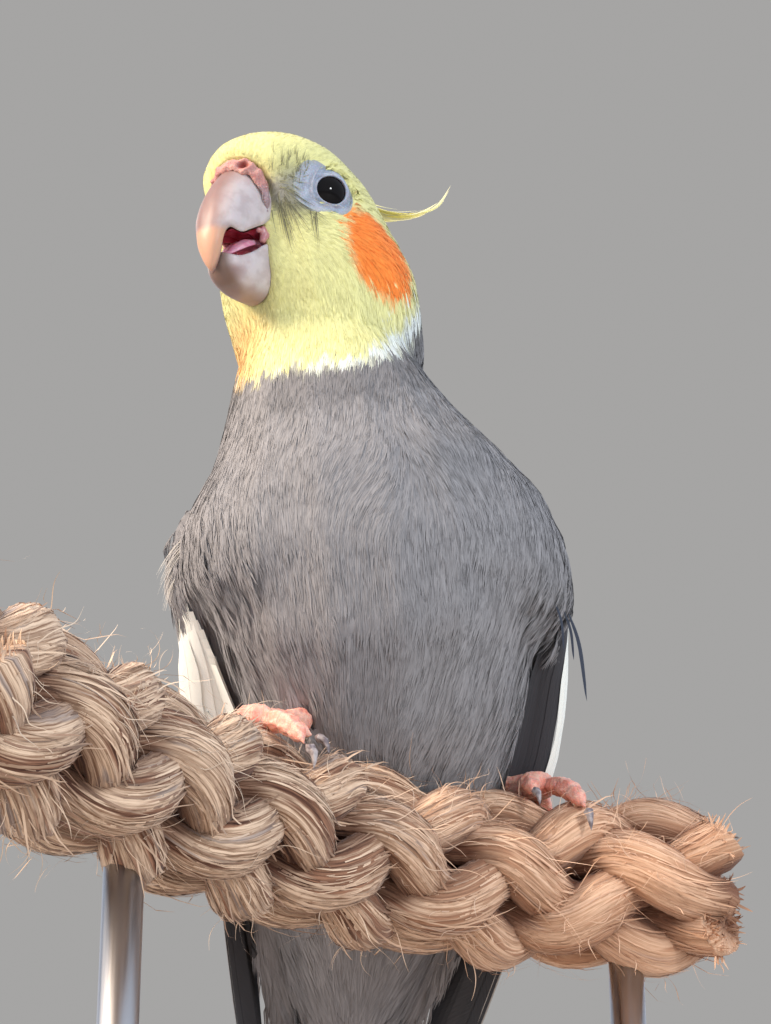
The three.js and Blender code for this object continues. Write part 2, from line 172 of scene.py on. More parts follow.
def gridQuads(rows, columns, closed=False):
    row = np.arange(rows - 1)[:, None] * columns
    column = np.arange(columns if closed else columns - 1)[None, :]
    after = (column + 1) % columns
    corners = [row + column, row + after, row + columns + after, row + columns + column]
    return np.stack(corners, -1).reshape(-1, 4)


def manyGrids(count, rows, columns):
    quads = gridQuads(rows, columns)
    return (quads[None] + (np.arange(count) * rows * columns)[:, None, None]).reshape(-1, 4)


def paint(piece, name, values):
    values = np.asarray(values, np.float32)
    kind = {1: "FLOAT", 2: "FLOAT_COLOR"}[values.ndim]
    layer = piece.data.attributes.new(name, kind, "POINT")
    if kind == "FLOAT":
        layer.data.foreach_set("value", values)
    else:
        full = np.ones((len(values), 4), np.float32)
        full[:, :values.shape[1]] = values
        layer.data.foreach_set("color", full.ravel())


def placeOnMap(piece, places):
    # the map that the finish is baked to: one place for each point of the mesh
    layer = piece.data.uv_layers.new(name="OFBake")
    corner = np.zeros(len(piece.data.loops), np.int32)
    piece.data.loops.foreach_get("vertex_index", corner)
    layer.data.foreach_set("uv", np.clip(places, 0, 1)[corner].astype(np.float32).ravel())


def pointsOf(piece):
    flat = np.zeros(len(piece.data.vertices) * 3, np.float32)
    piece.data.vertices.foreach_get("co", flat)
    return flat.reshape(-1, 3).astype(float) / mm


def normalsOf(piece):
    flat = np.zeros(len(piece.data.vertices) * 3, np.float32)
    piece.data.vertex_normals.foreach_get("vector", flat)
    return flat.reshape(-1, 3).astype(float)


def movePoints(piece, points):
    piece.data.vertices.foreach_set("co", (points * mm).astype(np.float32).ravel())
    piece.data.update()


def settle(piece, slot, material, *replaced):
    piece.data.materials.append(material)
    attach(piece, "root")
    if replaced:
        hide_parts(*replaced)
    return piece


def keepModifiers(piece):
    # the mesh as its modifiers leave it
    view = bpy.context.evaluated_depsgraph_get()
    final = bpy.data.meshes.new_from_object(piece.evaluated_get(view))
    piece.modifiers.clear()
    piece.data = final
    return piece


def melt(name, sources, voxel, rounds, extra=()):
    # one smooth closed skin round several solids: frame nodes by name, and other meshes
    shape = bmesh.new()
    for source in sources:
        shape.from_mesh(nodes[source].data)
    for other in extra:
        shape.from_mesh(other.data)
        bpy.data.objects.remove(other)
    bmesh.ops.remove_doubles(shape, verts=shape.verts, dist=1e-7)
    mesh = bpy.data.meshes.new(name)
    shape.to_mesh(mesh)
    shape.free()
    piece = bpy.data.objects.new(name, mesh)
    bpy.context.scene.collection.objects.link(piece)
    remesh = piece.modifiers.new("melt", "REMESH")
    remesh.mode = "VOXEL"
    remesh.voxel_size = voxel * mm
    soften = piece.modifiers.new("soften", "SMOOTH")
    soften.factor = 0.5
    soften.iterations = rounds
    keepModifiers(piece)
    piece.data.polygons.foreach_set("use_smooth", np.ones(len(piece.data.polygons), bool))
    return piece


# Node helpers

def put(tree, kind, feeds=(), **settings):
    made = tree.nodes.new("ShaderNode" + kind)
    for name, value in settings.items():
        setattr(made, name, value)
    for socket, value in dict(feeds).items():
        if isinstance(value, bpy.types.NodeSocket):
            tree.links.new(value, made.inputs[socket])
        else:
            made.inputs[socket].default_value = value
    return made


def mixColour(tree, share, a, b, way="MIX"):
    made = put(tree, "Mix", {0: share, 6: a, 7: b}, data_type="RGBA", blend_type=way)
    return made.outputs[2]


def calc(tree, sum_, a, b=0.0):
    return put(tree, "Math", {0: a, 1: b}, operation=sum_).outputs[0]


def ramp(tree, value, low, high, start=0.0, end=1.0):
    made = put(tree, "MapRange", {0: value, 1: low, 2: high, 3: start, 4: end})
    made.interpolation_type = "SMOOTHSTEP"
    return made.outputs[0]


def placeOf(tree):
    return put(tree, "TexCoord").outputs["Object"]


def stretched(tree, at, *scale):
    return put(tree, "Mapping", {"Vector": at, "Scale": scale}).outputs[0]


def noise(tree, at, scale, detail, roughness=0.5):
    feeds = {"Vector": at, "Scale": scale, "Detail": detail, "Roughness": roughness}
    return put(tree, "TexNoise", feeds).outputs[0]


def attribute(tree, name, output):
    return put(tree, "Attribute", attribute_name=name).outputs[output]


def newGroup(name, inputs, outputs):
    # inputs are {name: number or colour}, outputs {name: "Float", "Color" or "Vector"}
    tree = bpy.data.node_groups.new(name, "ShaderNodeTree")
    for label, value in inputs.items():
        kind = "NodeSocketColor" if isinstance(value, tuple) else "NodeSocketFloat"
        tree.interface.new_socket(name=label, in_out="INPUT", socket_type=kind).default_value = value
    for label, kind in outputs.items():
        tree.interface.new_socket(name=label, in_out="OUTPUT", socket_type="NodeSocket" + kind)
    return tree, tree.nodes.new("NodeGroupInput").outputs, tree.nodes.new("NodeGroupOutput").inputs


def useGroup(tree, group, **values):
    made = tree.nodes.new("ShaderNodeGroup")
    made.node_tree = group
    for label, value in values.items():
        if isinstance(value, bpy.types.NodeSocket):
            tree.links.new(value, made.inputs[label])
        else:
            made.inputs[label].default_value = value
    return made.outputs


def newMaterial(name, **fixed):
    # fixed values go straight on the shader's own sockets
    material = bpy.data.materials.new(name)
    material.use_nodes = True
    tree = material.node_tree
    shader = tree.nodes["Principled BSDF"]
    for label, value in fixed.items():
        shader.inputs[label.replace("_", " ")].default_value = value
    return material, tree, shader


def bumpFrom(tree, shader, height, strength, distance):
    made = put(tree, "Bump", {"Height": height, "Strength": strength, "Distance": distance * mm})
    tree.links.new(made.outputs[0], shader.inputs["Normal"])


def rgb(r, g, b):
    return (r, g, b, 1.0)


# Finishes

plumage = {
    "grey": rgb(0.265, 0.257, 0.262),
    "yellow": rgb(0.77, 0.745, 0.34),
    "orange": rgb(0.98, 0.265, 0.04),
    "white": rgb(0.76, 0.81, 0.79),
    "dark": rgb(0.03, 0.03, 0.035),
    "margin": rgb(0.62, 0.58, 0.52),
}

# how the barbs run: their slant towards the tip, and the pattern's size from feather to feather and outwards
barbs = {"slant": 9.0, "apart": 40.0, "outwards": 0.7}


def makeFeatherGroup():
    tree, given, out = newGroup("featherColour", {
        "Grey": plumage["grey"], "Yellow": plumage["yellow"], "Orange": plumage["orange"],
        "White": plumage["white"], "Dark": plumage["dark"], "Streak": 0.2, "TipLight": 0.15,
        "Barbs": 20.0, "BarbTone": 0.0, "Shaft": 0.0, "Edge": 0.0,
    }, {"Color": "Color", "Height": "Float"})
    marks = put(tree, "Attribute", attribute_name="marks")
    shares = put(tree, "SeparateColor", {0: marks.outputs["Color"]}).outputs
    across, along, own = put(tree, "SeparateXYZ", {0: attribute(tree, "vane", "Vector")}).outputs
    colour = mixColour(tree, shares[0], given["Grey"], given["Yellow"])
    colour = mixColour(tree, shares[2], colour, given["White"])
    colour = mixColour(tree, shares[1], colour, given["Orange"])
    colour = mixColour(tree, marks.outputs["Alpha"], given["Dark"], colour)
    # barbs run out from the shaft and on towards the tip
    aside = calc(tree, "ABSOLUTE", across)
    run = calc(tree, "MULTIPLY", along, given["Barbs"])
    run = calc(tree, "SUBTRACT", run, calc(tree, "MULTIPLY", aside, barbs["slant"]))
    apart = calc(tree, "MULTIPLY", own, barbs["apart"])
    line = put(tree, "CombineXYZ", {0: run, 1: apart, 2: calc(tree, "MULTIPLY", aside, barbs["outwards"])})
    barb = noise(tree, line.outputs[0], 1.0, 2.0)
    stem = ramp(tree, aside, 0.1, 0.03)
    tone = calc(tree, "MULTIPLY", calc(tree, "SUBTRACT", barb, 0.5), given["BarbTone"])
    streak = calc(tree, "MULTIPLY", calc(tree, "SUBTRACT", own, 0.5), given["Streak"])
    # darker at the root and lighter at the tip by TipLight; on the coat's tufts the darker roots are painted
    # shade where other tufts cover them
    tip = calc(tree, "MULTIPLY", calc(tree, "SUBTRACT", along, 0.5), given["TipLight"])
    shade = calc(tree, "ADD", calc(tree, "ADD", tone, streak), calc(tree, "ADD", tip, 1.0))
    shade = calc(tree, "SUBTRACT", shade, calc(tree, "MULTIPLY", stem, given["Shaft"]))
    light = put(tree, "CombineColor", {0: shade, 1: shade, 2: shade}).outputs[0]
    edge = ramp(tree, calc(tree, "MULTIPLY", across, given["Edge"]), 0.84, 0.92)
    colour = mixColour(tree, edge, colour, plumage["margin"])
    tree.links.new(mixColour(tree, 1.0, colour, light, "MULTIPLY"), out["Color"])
    tree.links.new(calc(tree, "ADD", barb, stem), out["Height"])
    return tree


featherGroup = makeFeatherGroup()


def featherMaterial(name, streak, tipLight, roughness=0.72):
    # for tufts and hairs
    material, tree, shader = newMaterial(name, Roughness=roughness, Specular_IOR_Level=0.25,
                                         Sheen_Weight=0.12, Sheen_Roughness=0.6)
    made = useGroup(tree, featherGroup, Streak=streak, TipLight=tipLight)
    tree.links.new(made["Color"], shader.inputs["Base Color"])
    return material


def vaneMaterial(name, length, roughness=0.62, shaft=0.35, tone=0.22, **colours):
    # for long feathers: the longer they are, in mm, the more barbs they get
    material, tree, shader = newMaterial(name, Roughness=roughness, Specular_IOR_Level=0.3,
                                         Sheen_Weight=0.08, Sheen_Roughness=0.5)
    made = useGroup(tree, featherGroup, Streak=0.22, TipLight=0.1, Barbs=length * 2.2, Shaft=shaft,
                    BarbTone=tone, **colours)
    tree.links.new(made["Color"], shader.inputs["Base Color"])
    bumpFrom(tree, shader, made["Height"], 0.5, 0.12)
    return material


def letLightThrough(material, colour, share):
    tree = material.node_tree
    shader = tree.nodes["Principled BSDF"]
    through = put(tree, "BsdfTranslucent", {"Color": colour})
    both = put(tree, "MixShader", {0: share, 1: shader.outputs[0], 2: through.outputs[0]})
    tree.links.new(both.outputs[0], tree.nodes["Material Output"].inputs[0])


# its TipLight paints the tufts' covered roots darker, as painted shade
coatFinish = featherMaterial("softFeathers", streak=0.38, tipLight=0.2)
skinFinish = featherMaterial("skinUnderFeathers", streak=0.0, tipLight=0.0, roughness=0.9)


# The eyes, in the head's frame; the right side is the left's mirror image

eyes = {
    "at": (9.2, -1.3, -0.9),
    "radius": 4.4,
    "axis": (0.9, -0.42, -0.1),
    "opening": (2.75, 2.5),  # half its length and half its height
    "lidThickness": 0.34,
    "reach": 4.7,  # how far the bare skin goes from the eye's middle
    "forward": 3.3,  # how much further it goes in front
    "behind": 0.5,  # and below at the back
    "creases": 0.04,
}


def eyeWays(side):
    # the eye's middle and the ways out, forward and up from it
    flip = np.array([side, 1, 1])
    axis = unit(np.array(eyes["axis"])) * flip
    fore = unit(np.array([0, -1, 0]) - axis * -axis[1])
    return np.array(eyes["at"]) * flip, axis, fore, np.cross(fore, axis) * side


def bareReach(around):
    # how far the bare skin goes, by the angle from forward and up
    fore = np.cos(around)
    behind = ease(0.3, 1, -np.cos(around - 0.6))
    return eyes["reach"] + eyes["forward"] * ease(0.1, 1, fore) + eyes["behind"] * behind


def bareShare(points):
    # under 1 on the bare skin round the eyes
    q = toHead(points)
    q[:, 0] = np.abs(q[:, 0])
    at, _, fore, above = eyeWays(1)
    ahead, high = (q - at) @ fore, (q - at) @ above
    share = np.hypot(ahead, high) / bareReach(np.arctan2(high, ahead))
    return np.where(q[:, 0] > 5.5, share, 9)


# Markings: shares of yellow, orange and white, and 1 less the share of dark, at points on the bird; the dark
# share holds the lores' own dusk and painted shadow below the yellow's edge

markings = {
    # where the yellow ends and the grey begins on the head, as height by how far back
    "greyFrom": [(-10, -33.4), (-7, -33.3), (-2.6, -32.2), (5, -29.2), (12, -25), (17, -18), (22, -7),
                 (27, 5)],
    "ragged": [(3.1, 5, 0.9), (9, 6, 0.8)],
    "whiteBand": [(-9, 1.6), (0, 3), (6, 5), (12, 8)],  # how high it is, by how far back
    "crown": 0.35,  # how white the crown and the head's back edge are
    "margin": 0.9,
    "cheek": {"y": 4.5, "z": -10.5, "long": 7.6, "wide": 6.25, "tilt": -35},
    "throat": 0.42,  # how orange it is
    "lores": [(-10.6, 1.4, 3.4), (-9.3, -6.0, 3.2)],  # y, z and reach of the dusky places before the eye
    "loresDusk": 0.2,
    # painted shadow under the overhanging white band and cheek, on the grey just below the yellow
    "shadowUnderBand": 0.32,  # where the yellow meets the grey
    "greyLores": (-9.8, -2.9, 5.0),  # y, z and reach of the grey place between them
    "greyShare": 0.85,
}


def roundSpot(q, y, z, reach):
    return ease(reach, reach * 0.3, np.hypot(q[:, 1] - y, q[:, 2] - z))


def marksAt(points):
    q = toHead(points)
    ragged = ripples(points, markings["ragged"])
    above = q[:, 2] - steps(q[:, 1], markings["greyFrom"]) - 2.5 * ease(0, -8, q[:, 0]) + ragged
    headOnly = ease(-45, -40, q[:, 2])
    yellow = ease(-1.2, 1.2, above) * headOnly
    high = steps(q[:, 1], markings["whiteBand"])
    band = ease(1, 0.35, above / high) * between(0.22, 1.0, ease(-1, 9, np.abs(q[:, 0]) + 0.3 * q[:, 1]))
    crown = ease(2, 9, q[:, 2]) * ease(-6, 14, q[:, 1]) * markings["crown"]
    margin = ease(13.5, 18, q[:, 1] - 0.3 * (q[:, 2] + 13)) * markings["margin"]
    white = np.clip(np.maximum.reduce([band, crown, margin]), 0, 1) * yellow
    cheek = markings["cheek"]
    tilt = math.radians(cheek["tilt"])
    y, z = q[:, 1] - cheek["y"], q[:, 2] - cheek["z"]
    u = (y * math.cos(tilt) + z * math.sin(tilt)) / cheek["long"]
    v = (z * math.cos(tilt) - y * math.sin(tilt)) / cheek["wide"]
    orange = ease(1.16, 0.9, np.hypot(u, v) + ragged * 0.05) * ease(4, 8, np.abs(q[:, 0]))
    throat = ease(5, -6, q[:, 0]) * ease(-18, -26, q[:, 2]) * yellow
    orange = np.maximum(orange, markings["throat"] * throat)
    atSides = ease(3, 6, np.abs(q[:, 0]))
    lores = np.maximum.reduce([roundSpot(q, *lore) for lore in markings["lores"]])
    duskAndShadow = markings["loresDusk"] * lores * atSides * (1 + 0.5 * ripple(points, 1.2, 8))
    # painted shadow under the overhanging white band and cheek: darker on the grey just below the yellow's
    # edge, at the head's sides
    shaded = ease(0.5, -1, above) * ease(-11, -5, above) * ease(3, 9, np.abs(q[:, 0])) * headOnly
    duskAndShadow = np.maximum(duskAndShadow, markings["shadowUnderBand"] * shaded)
    yellow = yellow * (1 - markings["greyShare"] * (roundSpot(q, *markings["greyLores"]) * atSides))
    return np.stack([yellow, orange, white, 1 - np.clip(duskAndShadow, 0, 1)], 1)


# The skin: one closed surface in place of all the flesh, inside it by the depth of the coat

skin = {
    "body": ["head", "neck", "trunk", "tail_coverts", "thigh_left", "thigh_right"],
    "wings": ["wing_left", "wing_right"],
    "voxel": 0.8,
    "smoothing": 14,
    "coatDepth": [(-40, 1.1), (-25, 0.8), (-10, 0.45), (12, 0.4)],  # by height on the head
    # places where it is fuller: the frame, the place in it, its reach and by how much
    "swells": [(toHead, (13, 17, -27), 8, 0.9), (toHead, (-7, -12, 2), 5, 1.4), (toHead, (6, 12, 6), 8, 0.7),
               (toHead, (5.6, -10.3, -15.5), 3.6, 1.1), (toHead, (-5.6, -10.3, -15.5), 3.6, 1.1),
               (toBody, (30, -1, 42), 9, 1.4), (toHead, (15.5, 13.5, -15), 9, 1.5)],
}

skinPiece = melt("skin", skin["body"] + skin["wings"], skin["voxel"], skin["smoothing"])
skinPoints = pointsOf(skinPiece)
skinNormals = normalsOf(skinPiece)
depth = steps(toHead(skinPoints)[:, 2], skin["coatDepth"])
for frameOf, at, reach, by in skin["swells"]:
    gap = np.linalg.norm(frameOf(skinPoints) - np.array(at), axis=1)
    depth = depth - by * np.exp(-(gap / reach) ** 2)
depth = depth + 0.5 * ease(1.0, 0.75, bareShare(skinPoints))  # out of the way of the bare skin's own piece
skinPoints = skinPoints - skinNormals * depth[:, None]
movePoints(skinPiece, skinPoints)
skinNormals = normalsOf(skinPiece)
paint(skinPiece, "marks", marksAt(skinPoints))
paint(skinPiece, "vane", np.full((len(skinPoints), 3), 0.5))
print("skin,", len(skinPoints), "points")


def unwrapSkin():
    bpy.context.view_layer.objects.active = skinPiece
    skinPiece.select_set(True)
    skinPiece.data.uv_layers.new(name="OFBake")
    bpy.ops.object.mode_set(mode="EDIT")
    bpy.ops.mesh.select_all(action="SELECT")
    bpy.ops.uv.smart_project(angle_limit=math.radians(66), island_margin=0.004)
    bpy.ops.object.mode_set(mode="OBJECT")
    skinPiece.select_set(False)


unwrapSkin()
print("skin unwrapped")
settle(skinPiece, "body_feathers", skinFinish, *skin["body"], *skin["wings"])


def facesOf(piece):
    # centres, areas, smooth normals and map places of a mesh's faces
    mesh = piece.data
    count = len(mesh.polygons)
    centre, area = np.zeros(count * 3), np.zeros(count)
    mesh.polygons.foreach_get("center", centre)
    mesh.polygons.foreach_get("area", area)
    start = np.zeros(count, np.int32)
    mesh.polygons.foreach_get("loop_start", start)
    corner = np.zeros(len(mesh.loops), np.int32)
    mesh.loops.foreach_get("vertex_index", corner)
    places = np.zeros(len(mesh.loops) * 2, np.float32)
    mesh.uv_layers["OFBake"].data.foreach_get("uv", places)
    size = np.diff(np.append(start, len(corner)))[:, None]
    normal = unit(np.add.reduceat(normalsOf(piece)[corner], start))
    place = np.add.reduceat(places.reshape(-1, 2), start) / size
    return centre.reshape(-1, 3) / mm, area / mm ** 2, normal, place


skinCentres, skinAreas, skinFaceNormals, skinPlaces = facesOf(skinPiece)
skinTree = BVHTree.FromPolygons(pointsOf(skinPiece).tolist(),
                                [list(face.vertices) for face in skinPiece.data.polygons])


def hitSkin(start, way):
    # where a ray meets the skin, or None, and the face there
    spot, _, face, _ = skinTree.ray_cast(Vector(start), Vector(way))
    return spot if spot is None else np.array(spot), face


def onSkin(points):
    spots, normals = np.zeros_like(points), np.zeros_like(points)
    for i, point in enumerate(points.tolist()):
        spot, _, face, _ = skinTree.find_nearest(point)
        spots[i] = spot
        normals[i] = skinFaceNormals[face]
    return spots, normals


# The lie of the coat: away from the bill over the head, and from the neck to the tail over the body

lie = {
    "wander": [(26, 21, 0.12), (9, 22, 0.05)],
    "bill": (0, -17, -7),
    # height and depth of the body's middle
    "spine": [(-32, 58.3), (-9, 43.2), (6, 33.8), (19, 23.5), (32, 13.2), (44, 6.6), (55, 3.9), (65, 2.5),
              (80, 3), (104, 6)],
    "whorl": {"x": -3.5, "z": 62, "size": 13, "turn": 0.75},
}


def lieAt(points, normals):
    q = toHead(points)
    away = unit(q - np.array(lie["bill"]))
    lower = ease(-6, -22, q[:, 2])[:, None]
    down = np.array([0, 0.15, -1.0])
    onHead = unit(between(away, down, lower * 0.85)) @ headTurn.T
    b = toBody(points)
    height = b[:, 2]
    slope = (steps(height + 3, lie["spine"]) - steps(height - 3, lie["spine"])) / 6
    front = ease(0.3, -0.5, (normals @ bodyTurn)[:, 1])
    slope = slope * between(1.0, 0.25, front)
    aside = -0.12 * b[:, 0] / 30 * front + ripples(points, lie["wander"])
    onBody = np.stack([aside, -slope, -np.ones(len(points))], 1)
    whorl = lie["whorl"]
    x, z = b[:, 0] - whorl["x"], height - whorl["z"]
    near = np.exp(-(x * x + z * z) / whorl["size"] ** 2) * front
    onBody[:, 0] += near * (whorl["turn"] * np.tanh(x / 5) + 0.25 * np.sin(z / 4))
    onBody = unit(onBody) @ bodyTurn.T
    share = ease(-18, -34, q[:, 2])[:, None]
    way = between(onHead, onBody, share)
    way = way - normals * dot(way, normals)
    return unit(way)


# The coat: tufts of barbs fanned from one root, which lie along the skin

coat = {
    "lengthOnHead": [(5, 1.3), (9, 1.9), (15, 2.7), (22, 3.7), (32, 5.2)],  # by distance from the bill
    # by height
    "lengthOnBody": [(-32, 13), (-10, 12), (12, 11), (30, 10), (48, 8), (66, 7), (85, 6), (105, 5.5)],
    "lengths": (0.8, 1.2),  # as shares of the usual length
    "slimness": 0.26,
    "strewn": 0.35,  # how far the roots are from the middle of their faces
    "astray": 0.07,  # how far the tufts turn from the lie of the coat
    "rootDepth": 0.15,
    "barbWidth": [(0, 0.7), (0.4, 1.0), (0.75, 0.7), (1, 0.0)],
    "patch": 0.003,  # how much of the map a tuft or hair takes
    "hangsTo": 44,  # the height down to which it covers the wing's front edge
    "flanks": {"out": (23, 29), "top": (64, 50), "foot": (22, 30), "free": 0.75},  # where it hangs clear
    # half the width that is left out for the bill, by height on the head
    "billHole": [(-24, 2.5), (-20, 3.4), (-14, 4.3), (-11, 5.4), (-6, 6.5), (0, 6.0), (1.2, 5.0)],
    # how many tufts lie over any one point, their barbs, and how high and how smooth they lie
    "head": {"cover": 10.0, "barbs": 8, "sections": 2, "lift": 0.35, "sleek": 0.8},
    "neck": {"cover": 13.0, "barbs": 11, "sections": 3, "lift": 0.5, "sleek": 0.6},
    "body": {"cover": 13.5, "barbs": 13, "sections": 3, "lift": 0.6, "sleek": 0.55},
}


def coatLength(points):
    q = toHead(points)
    fromBill = np.linalg.norm(q - np.array(lie["bill"]), axis=1)
    head = steps(fromBill, coat["lengthOnHead"])
    body = steps(toBody(points)[:, 2], coat["lengthOnBody"])
    return between(head, body, ease(-18, -36, q[:, 2]))


def solidsTree(names):
    shape = bmesh.new()
    for name in names:
        shape.from_mesh(nodes[name].data)
    tree = BVHTree.FromBMesh(shape)
    shape.free()
    return tree


def distancesTo(names, points):
    tree = solidsTree(names)
    return np.array([tree.find_nearest(p)[3] for p in (points * mm).tolist()]) / mm


wingsAt, wingsDown = (5, 60), (0.54, -0.845)  # the shoulder, and the way down the folded wing, as y and z

# where the regions of the coat begin and end: heights on the head and on the body, how far round the back
# begins, and the x that parts left from right
regions = {"head": -24, "neck": -34, "belly": 46, "vent": 4, "back": 0.25, "middle": -3}


def regionsOf(points, normals):
    # which part of the coat each spot belongs to, or "" where it has none
    q, b = toHead(points), toBody(points)
    n = normals @ bodyTurn
    wing, rest = distancesTo(skin["wings"], points), distancesTo(skin["body"], points)
    downWing = (b - np.array([0, *wingsAt])) @ np.array([0, *wingsDown])
    shoulder = downWing < between(9, 6, ease(0.2, 0.5, n[:, 1]))
    # the breast's coat hangs over the wing's edge, furthest at the shoulder
    edge = (b[:, 2] > coat["hangsTo"]) & (n[:, 1] < between(0.2, 0.8, ease(48, 53, b[:, 2])))
    onWing = (wing < 1.7) & (rest > 2.2) & ~shoulder & ~edge
    bare = bareShare(points) < 0.8 + 0.1 * ripple(points, 1.6, 9)
    inBill = np.abs(q[:, 0]) < steps(q[:, 2], coat["billHole"])
    billHole = inBill & (q[:, 1] < -11.5) & (q[:, 2] < 1.2) & (q[:, 2] > -24)
    side = np.where(b[:, 0] > regions["middle"], "left", "right")
    name = np.where(n[:, 1] > regions["back"], "back", "breast")
    name = np.where((name == "breast") & (b[:, 2] < regions["belly"]), "belly", name)
    name = np.where(b[:, 2] < regions["vent"], "vent", name)
    name = np.char.add(np.char.add(name, "_"), side)
    name = np.where(q[:, 2] > regions["neck"], "neck", name)
    name = np.where(q[:, 2] > regions["head"], np.where(q[:, 0] > 0, "head_left", "head_right"), name)
    return np.where(onWing | bare | billHole, "", name)


skinRegions = regionsOf(skinCentres, skinFaceNormals)
print("coat regions,", {r: int((skinRegions == r).sum()) for r in np.unique(skinRegions)})


def pickRoots(region, cover):
    inside = np.flatnonzero(skinRegions == region)
    length = coatLength(skinCentres[inside])
    chance = skinAreas[inside] * cover / (length * length * coat["slimness"])
    count = np.floor(chance + draws.random(len(inside))).astype(int)
    chosen = np.repeat(inside, count)
    spots = skinCentres[chosen]
    shift = draws.normal(size=spots.shape) * coat["strewn"]
    normals = skinFaceNormals[chosen]
    spots = spots + shift - normals * dot(shift, normals)
    return spots, normals, skinPlaces[chosen]


def stepOnCoat(spots, ways, lengths, cling):
    # on from the spots, and back down to the skin as far as cling says
    ahead = spots + ways * lengths[:, None]
    found, normals = onSkin(ahead)
    return between(ahead, found, cling[:, None]), normals


def fanTufts(name, spots, normals, places, cling, kind):
    # every barb is a flat strip of the given sections, which ends in a point
    count, barbs, sections = len(spots), kind["barbs"], kind["sections"]
    length = coatLength(spots) * draws.uniform(*coat["lengths"], count)
    width = length * coat["slimness"] * 0.5
    marks = marksAt(spots)
    way = unit(lieAt(spots, normals) + draws.normal(size=spots.shape) * coat["astray"])
    middle, middleNormal = stepOnCoat(spots, way, length * 0.5, cling)
    end, endNormal = stepOnCoat(middle, lieAt(middle, middleNormal), length * 0.5, cling)
    high = (0.14 + 0.03 * length) * kind["lift"] * (1 + 2.5 * (1 - cling))
    middle = middle + middleNormal * (high * draws.uniform(0.5, 1.0, count))[:, None]
    end = end + endNormal * (high * draws.uniform(0.55, 1.7, count))[:, None]
    start = spots - normals * coat["rootDepth"]

    # each barb's place across the tuft, and where it begins and ends along it
    offset = np.linspace(-1, 1, barbs)[None, :] + draws.normal(size=(count, barbs)) * 0.1
    begin = draws.uniform(0.0, 0.3, (count, barbs))
    finish = 1 - 0.22 * offset ** 2 + draws.normal(size=(count, barbs)) * 0.07
    s = np.linspace(0, 1, sections + 1)
    t = begin[..., None] + (finish - begin)[..., None] * s
    a, m, e = [p[:, None, None, :] for p in (start, middle, end)]
    tt = t[..., None]
    # a curve through start, middle and end
    line = a * (1 - tt) * (1 - 2 * tt) + m * 4 * tt * (1 - tt) + e * tt * (2 * tt - 1)
    up = unit(between(normals[:, None, None, :], endNormal[:, None, None, :], tt))
    onward = unit(end - start)[:, None, None, :]
    sideways = unit(np.cross(up, np.broadcast_to(onward, up.shape)))
    spread = width[:, None, None] * offset[..., None] * s ** 0.75
    curl = width[:, None, None] * 0.16 * np.sin(s * 4 + draws.uniform(0, 6.3, (count, barbs, 1)))
    line = line + sideways * (spread + curl)[..., None]
    line = line - up * (np.abs(offset)[..., None] * s * width[:, None, None] * 0.22)[..., None]
    twist = draws.normal(size=(count, barbs, 1, 1)) * 0.25
    flat = sideways * np.cos(twist) + up * np.sin(twist)
    half = (width[:, None] / barbs * 1.3 * draws.uniform(0.7, 1.2, (count, barbs)))[..., None]
    half = half * steps(s, coat["barbWidth"])
    left = line - flat * half[..., None]
    right = line + flat * half[..., None]
    strip = np.concatenate([np.stack([left[:, :, :-1], right[:, :, :-1]], 3).reshape(count, barbs, -1, 3),
                            line[:, :, -1:]], 2)
    per = sections * 2 + 1
    first = (np.arange(count * barbs) * per)[:, None]
    rung = np.arange(sections - 1)[:, None] * 2 + np.array([1, 0, 2, 3])
    quads = (first[:, :, None] + rung[None]).reshape(-1, 4)
    triangles = first + np.array([per - 2, per - 3, per - 1])
    piece = meshObject(name, strip.reshape(-1, 3), quads, triangles)
    # shaded partly as the skin is, so that the coat looks sleek
    own = normalsOf(piece).reshape(strip.shape)
    facing = np.concatenate([np.repeat(up[:, :, :-1], 2, 2), up[:, :, -1:]], 2)
    facing = unit(between(own, np.broadcast_to(facing, own.shape), kind["sleek"]))
    piece.data.normals_split_custom_set_from_vertices(facing.reshape(-1, 3).tolist())

    along = np.append(np.repeat(s[:-1], 2), 1.0)
    across = np.broadcast_to(offset[..., None], (count, barbs, per))
    own = np.broadcast_to(draws.random((count, barbs, 1)) * 0.6 + draws.random((count, 1, 1)) * 0.4,
                          (count, barbs, per))
    vane = np.stack([across, np.broadcast_to(along, across.shape), own], -1)
    paint(piece, "vane", vane.reshape(-1, 3))
    paint(piece, "marks", np.repeat(marks, barbs * per, 0))
    patch = np.stack([across * 0.5, np.broadcast_to(along, across.shape) - 0.5], -1) * coat["patch"]
    placeOnMap(piece, (places[:, None, None, :] + patch).reshape(-1, 2))
    return piece


def growCoat():
    flanks = coat["flanks"]
    for region in np.unique(skinRegions):
        if not region:
            continue
        part = region.split("_")[0]
        kind = coat.get(part, coat["body"])
        spots, normals, places = pickRoots(region, kind["cover"])
        b = toBody(spots)
        hang = ease(*flanks["out"], np.abs(b[:, 0] - regions["middle"])) * ease(*flanks["top"], b[:, 2])
        cling = 1 - flanks["free"] * (hang * ease(*flanks["foot"], b[:, 2]))
        piece = fanTufts("coat_" + region, spots, normals, places, cling, kind)
        settle(piece, "face_feathers" if part == "head" else "body_feathers", coatFinish)
        print("coat", region, len(spots), "tufts,", len(piece.data.polygons), "faces")


growCoat()


# Long feathers: vanes on shafts

vanes = {"rows": 16, "columns": 7, "camber": 0.16, "notches": 0.1}


